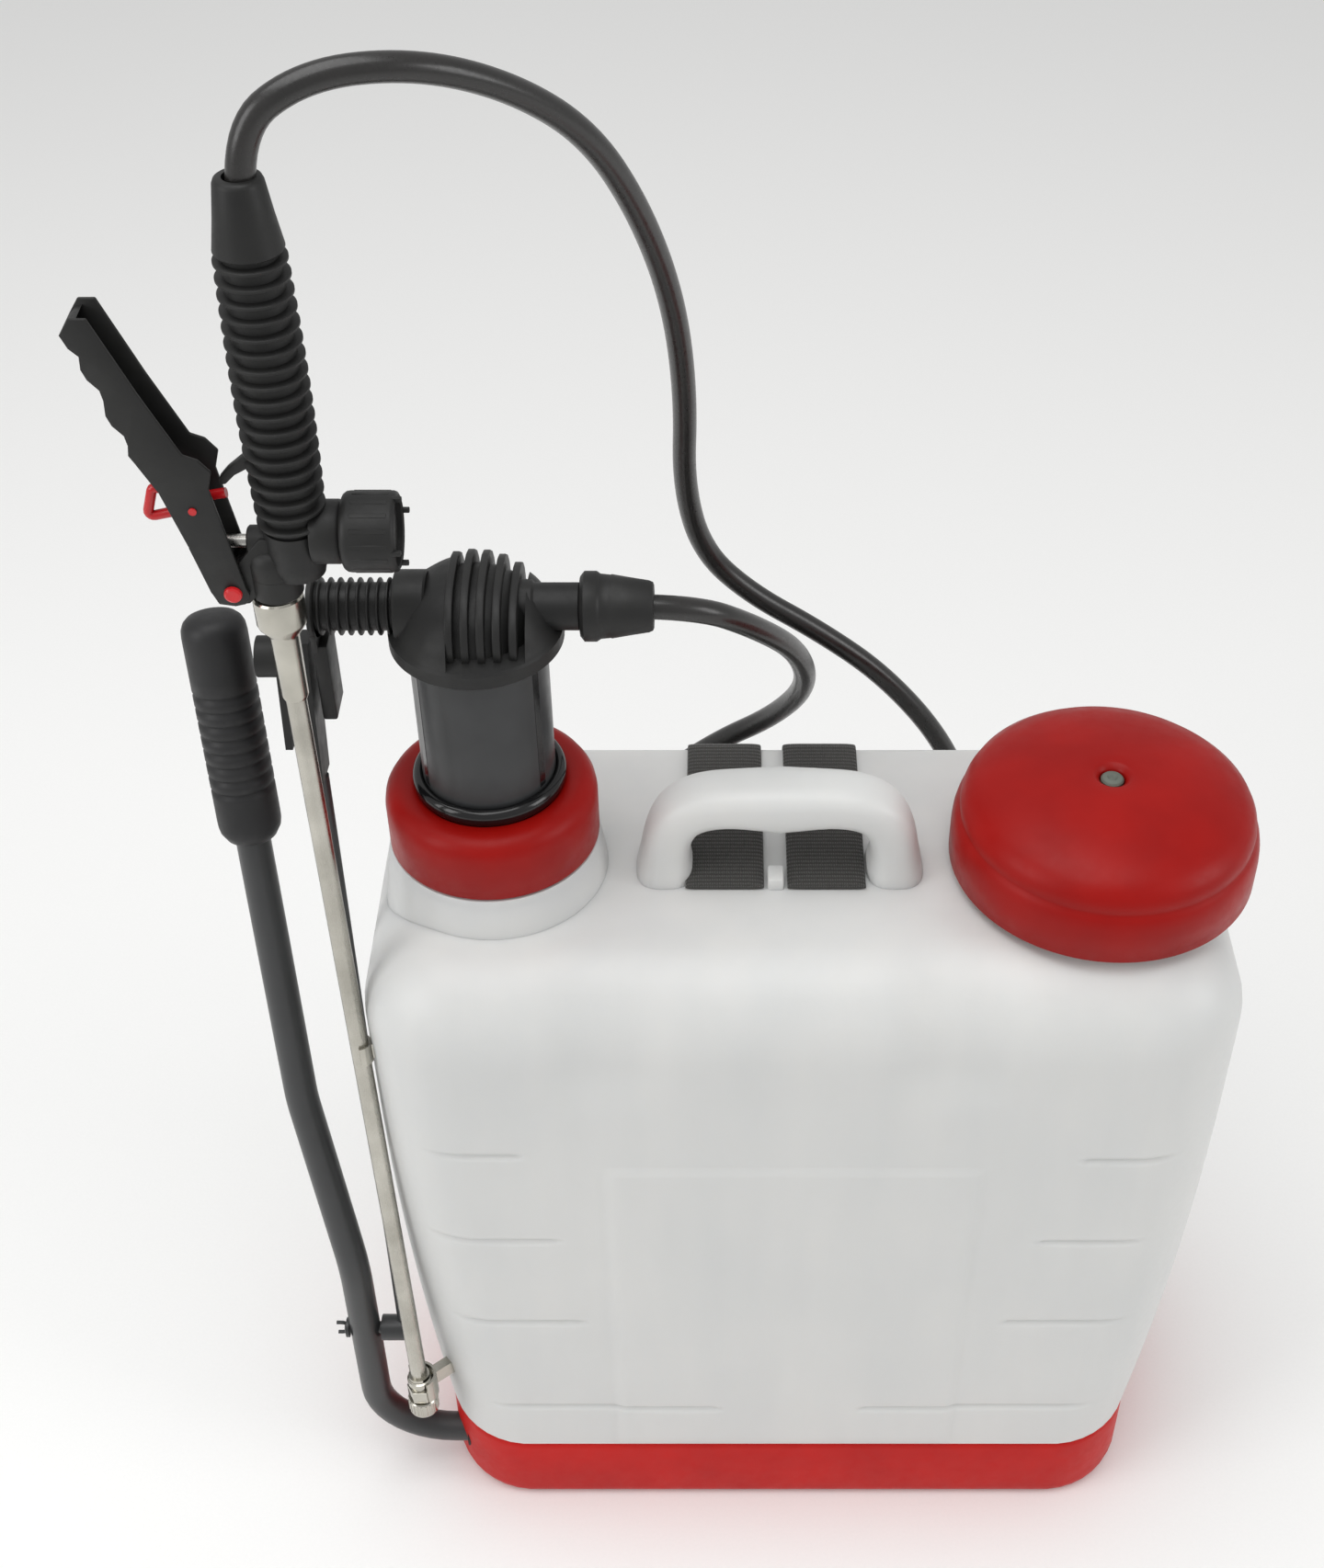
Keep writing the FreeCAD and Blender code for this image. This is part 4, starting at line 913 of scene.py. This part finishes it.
def make_valve_body():
    """Housing under the grip: filter branch, stem boss, trigger ears and the lance's socket."""
    barrel = lathe([(0, 562), (9.5, 562), (9.9, 564), (11, 567), (11, 582), (0, 582)], steps=56)
    stand(barrel, (GRIP_X, GRIP_Y, 0))
    shoulder = stand(lathe([(0, 562), (9.5, 562), (9.5, 568), (8.6, 571), (6.6, 573), (0, 574)],
                           steps=56), (SOCKET_X, GRIP_Y, 0))
    merge(barrel, shoulder)
    branch = lathe([(0, 0), (11.4, 0), (11.8, 0.6), (11.8, 9.6), (11, 10.6), (0, 10.6)], steps=56)
    stand(branch, (GRIP_X + 7, GRIP_Y, BRANCH_LEVEL), PLUS_X)
    boss = stand(lathe([(0, 0), (5.2, 0), (5.8, 0.6), (5.8, 12), (0, 12)], steps=40),
                 (GRIP_X - 17, GRIP_Y, 575), PLUS_X)
    ears = []
    for side in (3.6, -6):
        ear = [(-218, 552), (-213, 550.4), (-209, 551), (-196, 565), (-196, 579), (-202, 579),
               (-217, 562), (-218.4, 556)]
        ears.append(plate(ear, GRIP_Y + side, GRIP_Y + side + 2.4, "XZ", 0.4))
    merge(barrel, branch, boss, *ears)
    piece("valve_housing", barrel, DARK_PLASTIC, "tank", ["valve_body"], 40)
    sleeve = lathe([(3, 552.3), (8.9, 552.3), (9.5, 553), (9.5, 561.9), (3, 561.9)], closed=True,
                   steps=48)
    stand(sleeve, (SOCKET_X, GRIP_Y, 0))
    piece("lance_socket", sleeve, DARK_PLASTIC, "tank", ["lance_sleeve"], 40)


def make_hand_grip():
    """Ribbed handle with a thin hook towards the trigger."""
    grip = lathe(ribs(9.9, 9.8, 2.7, GRIP_LENGTH, 18, lip=0.5, belly=1.0), steps=72)
    stand(grip, (GRIP_X, GRIP_Y, GRIP_LOW))
    hook = [(-199, 613), (-204, 611.4), (-210, 606.4), (-213.4, 602.4), (-213.2, 600.2),
            (-211.2, 600.4), (-207.6, 604), (-203, 606.6), (-199, 607)]
    merge(grip, plate(hook, GRIP_Y - 2, GRIP_Y + 2, "XZ", 0.5))
    piece("ribbed_hand_grip", grip, DARK_PLASTIC, "tank", ["lance_grip"], 40)


def make_filter_cap():
    """Fluted screw cap with four short prongs on its far rim."""
    cap = lathe([(9.1, 0), (12.8, 0), (13.8, 0.5), (14.6, 1.6), (14.8, 3), (14.8, 18.4), (14.4, 19.4),
                 (13.4, 20), (12.6, 19.4), (12.6, 17.4), (0, 17.4), (0, 15), (11.4, 15), (11.4, 4.5),
                 (9.1, 4.5)], closed=True, steps=80)
    for k in range(16):
        merge(cap, spin(box((14.4, -0.9, 4), (14.95, 0.9, 17.4), 0.2, 1), math.tau * (k + 0.5) / 16))
    for across, up in ((1, 0), (0, 1), (-1, 0), (0, -1)):
        x, y = 13.8 * across, 13.8 * up
        merge(cap, box((x - 0.9, y - 0.9, 18), (x + 0.9, y + 0.9, 22.2), 0.3))
    stand(cap, (GRIP_X + 18, GRIP_Y, BRANCH_LEVEL), PLUS_X)
    piece("filter_screw_cap", cap, DARK_PLASTIC, "filter_cap", ["filter_cap"], 40)


# The trigger's outlines are measured from its pivot
TRIGGER_PIVOT = (-214, -38, 557)
TRIGGER_OUTER = [(-6, -5), (0, -6), (4, -5), (6, -1), (5, 2), (-2, 45), (0, 52), (-4, 57), (-9, 59),
                 (-20, 83), (-32, 112), (-38, 112), (-42, 106), (-40, 101), (-37, 98), (-37.4, 93),
                 (-36, 89), (-32.6, 85), (-32, 81), (-32.4, 75), (-31, 71), (-27.6, 67), (-27, 63),
                 (-27.6, 59), (-26, 56), (-20, 44), (-13, 20), (-8, 0)]
TRIGGER_BACK = TRIGGER_OUTER[:11:-1] + [(-39, 109)]
TRIGGER_HALF = 8


def make_trigger():
    """Channel of two cheeks joined along the scalloped back."""
    x0, y0, z0 = TRIGGER_PIVOT
    outer = [(x0 + x, z0 + z) for x, z in TRIGGER_OUTER]
    bm = plate(outer, y0 - TRIGGER_HALF, y0 - 6.4, "XZ", 0.5)
    other = plate(outer, y0 + 6.4, y0 + TRIGGER_HALF, "XZ", 0.5)
    back = [(x0 + x, z0 + z) for x, z in TRIGGER_BACK]
    inner = [(x + 2.4, z + 0.9) for x, z in reversed(back)]
    reach = TRIGGER_HALF - 0.2
    spine = plate(back[2:] + inner[:-2], y0 - reach, y0 + reach)
    foot = plate(back[:2] + inner[-2:], y0 - reach, y0 + reach)
    merge(bm, other, spine, foot)
    piece("trigger_lever", bm, DARK_PLASTIC, "trigger", ["trigger"], 35)


def make_trigger_lock():
    """Bent wire loop on a cross bar, and the pin that the trigger turns on."""
    x0, y0, z0 = TRIGGER_PIVOT[0] - 9, TRIGGER_PIVOT[1], TRIGGER_PIVOT[2] + 36
    loop = [(x0 + x, y0, z0 + z) for x, z in ((-8, 4), (-15, 5), (-19, -7.6), (-9.6, -5.4), (-7.4, -1),
                                              (-2, 0.4), (5, 1.6), (11, 2.8))]
    bm = sweep(bent(loop, [1.6, 1.8, 1.8, 3, 4, 4], 0.8), 1.9, 16)
    bar = sweep([(x0, y0 - 8.5, z0), (x0, y0 + 8.5, z0)], 1.5, 20)
    merge(bm, bar)
    piece("trigger_lock_loop", bm, GLOSS_RED, "trigger_lock", ["trigger_lock"], 50)
    pin = lathe([(0, -9.8), (2.4, -9.8), (3.2, -9.3), (3.4, -8.3), (2.5, -8.3), (2.5, 8.3), (3.4, 8.3),
                 (3.2, 9.3), (2.4, 9.8), (0, 9.8)], steps=40)
    stand(pin, TRIGGER_PIVOT, (0, 1, 0))
    piece("trigger_pivot_pin", pin, GLOSS_RED, "tank", ["trigger_pin"])


# ---------------------------------------------------------------- straps

def strap_line(half):
    """The band's middle line in Y and Z: over the top, round the rear shoulder, down the back."""
    line = [(-18.0, TANK_TOP + half)]
    line += [(y, TANK_TOP + half) for y in range(-10, 66, 8)]
    rear = REAR_SHARE * SHOULDER
    for k in range(13):
        angle = math.radians(7.5 * k)
        line.append((HALF_DEPTH - rear + (rear + half) * math.sin(angle),
                     TANK_TOP - SHOULDER + (SHOULDER + half) * math.cos(angle)))
    line += [(HALF_DEPTH + half, z) for z in range(330, 48, -12)]
    return line + [(HALF_DEPTH + half, 48)]


def make_straps():
    """Each strap is laid on the tank; only the run that lies on it is made."""
    for name, middle in STRAP_MIDDLES.items():
        half_thick = STRAP_THICK / 3
        line = [Vector((middle, y, z)) for y, z in strap_line(half_thick + 0.5)]
        band = sweep(line, 1, 28, (STRAP_WIDTH / 2, half_thick, 0.35, 0.6))
        made = piece(name + "_band", band, WEBBING, "tank", [name], 50)


def make_buckles():
    """Slide buckle on each strap: two side bars joined by three cross bars."""
    bm = bmesh.new()
    reach = STRAP_WIDTH / 2 + 3.5
    for middle in STRAP_MIDDLES.values():
        low, high = middle - reach, middle + reach
        rear = HALF_DEPTH + 7.4
        merge(bm, box((low, HALF_DEPTH + 0.4, 118), (low + 2.6, rear, 148), 0.6),
              box((high - 2.6, HALF_DEPTH + 0.4, 118), (high, rear, 148), 0.6),
              box((low, rear - 1.4, 118), (high, rear, 123), 0.5),
              box((low, rear - 1.4, 130.5), (high, rear, 135.5), 0.5),
              box((low, rear - 1.4, 143), (high, rear, 148), 0.5))
    piece("strap_slide_buckles", bm, DARK_PLASTIC, "tank", ["strap_buckles"], 40)


# ---------------------------------------------------------------- nodes shown as they came

CARRIED = {
    "axle_bush": DARK_PLASTIC, "filler_strainer": WHITE_PLASTIC, "pump_barrel": WHITE_PLASTIC,
    "foot_valve_seat": WHITE_PLASTIC, "suction_screen": WHITE_PLASTIC, "piston": WHITE_PLASTIC,
    "delivery_tube": WHITE_PLASTIC, "lance_filter": WHITE_PLASTIC, "neck_gasket": SEAL_RUBBER,
    "lid_gasket": SEAL_RUBBER, "head_gasket": SEAL_RUBBER, "piston_cup": SEAL_RUBBER,
    "foot_valve_ball": BRIGHT_STEEL, "piston_valve_ball": BRIGHT_STEEL, "valve_spring": BRIGHT_STEEL,
    "valve_stem": BRIGHT_STEEL, "swirl_disc": BRIGHT_STEEL, "axle_retainer": BRIGHT_STEEL,
    "lance_clip_low": NICKEL, "lance_clip_high": NICKEL, "link_rod": PAINTED_STEEL,
    "link_head": DARK_PLASTIC,
}


def dress_carried_nodes():
    """Gives each carried node its material."""
    for name, material in CARRIED.items():
        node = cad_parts[name]
        node.data.materials.clear()
        node.data.materials.append(material)


def make_floor():
    """Plain paper floor and an even pale sky."""
    bm = bmesh.new()
    bmesh.ops.create_grid(bm, x_segments=2, y_segments=2, size=FLOOR_SIZE)
    floor = piece("studio_floor", bm, studio_paper(), None)
    floor.data.polygons.foreach_set("use_smooth", [False] * len(floor.data.polygons))
    world = bpy.data.worlds.new("studio")
    bpy.context.scene.world = world
    world.use_nodes = True
    world.node_tree.nodes["Background"].inputs["Color"].default_value = linear("#F4F4F4")
    world.node_tree.nodes["Background"].inputs["Strength"].default_value = 0.62
    bpy.context.scene.view_settings.view_transform = "Standard"


place_camera()
make_hose()
make_floor()
for softbox in SOFTBOXES:
    area_light(*softbox)
make_tank()
make_base()
make_lid()
make_pump_collar()
make_chamber()
make_pump_head()
make_arm()
make_hose_nuts()
make_lever()
make_pins()
make_lance()
make_valve_body()
make_hand_grip()
make_filter_cap()
make_trigger()
make_trigger_lock()
make_straps()
make_buckles()
dress_carried_nodes()
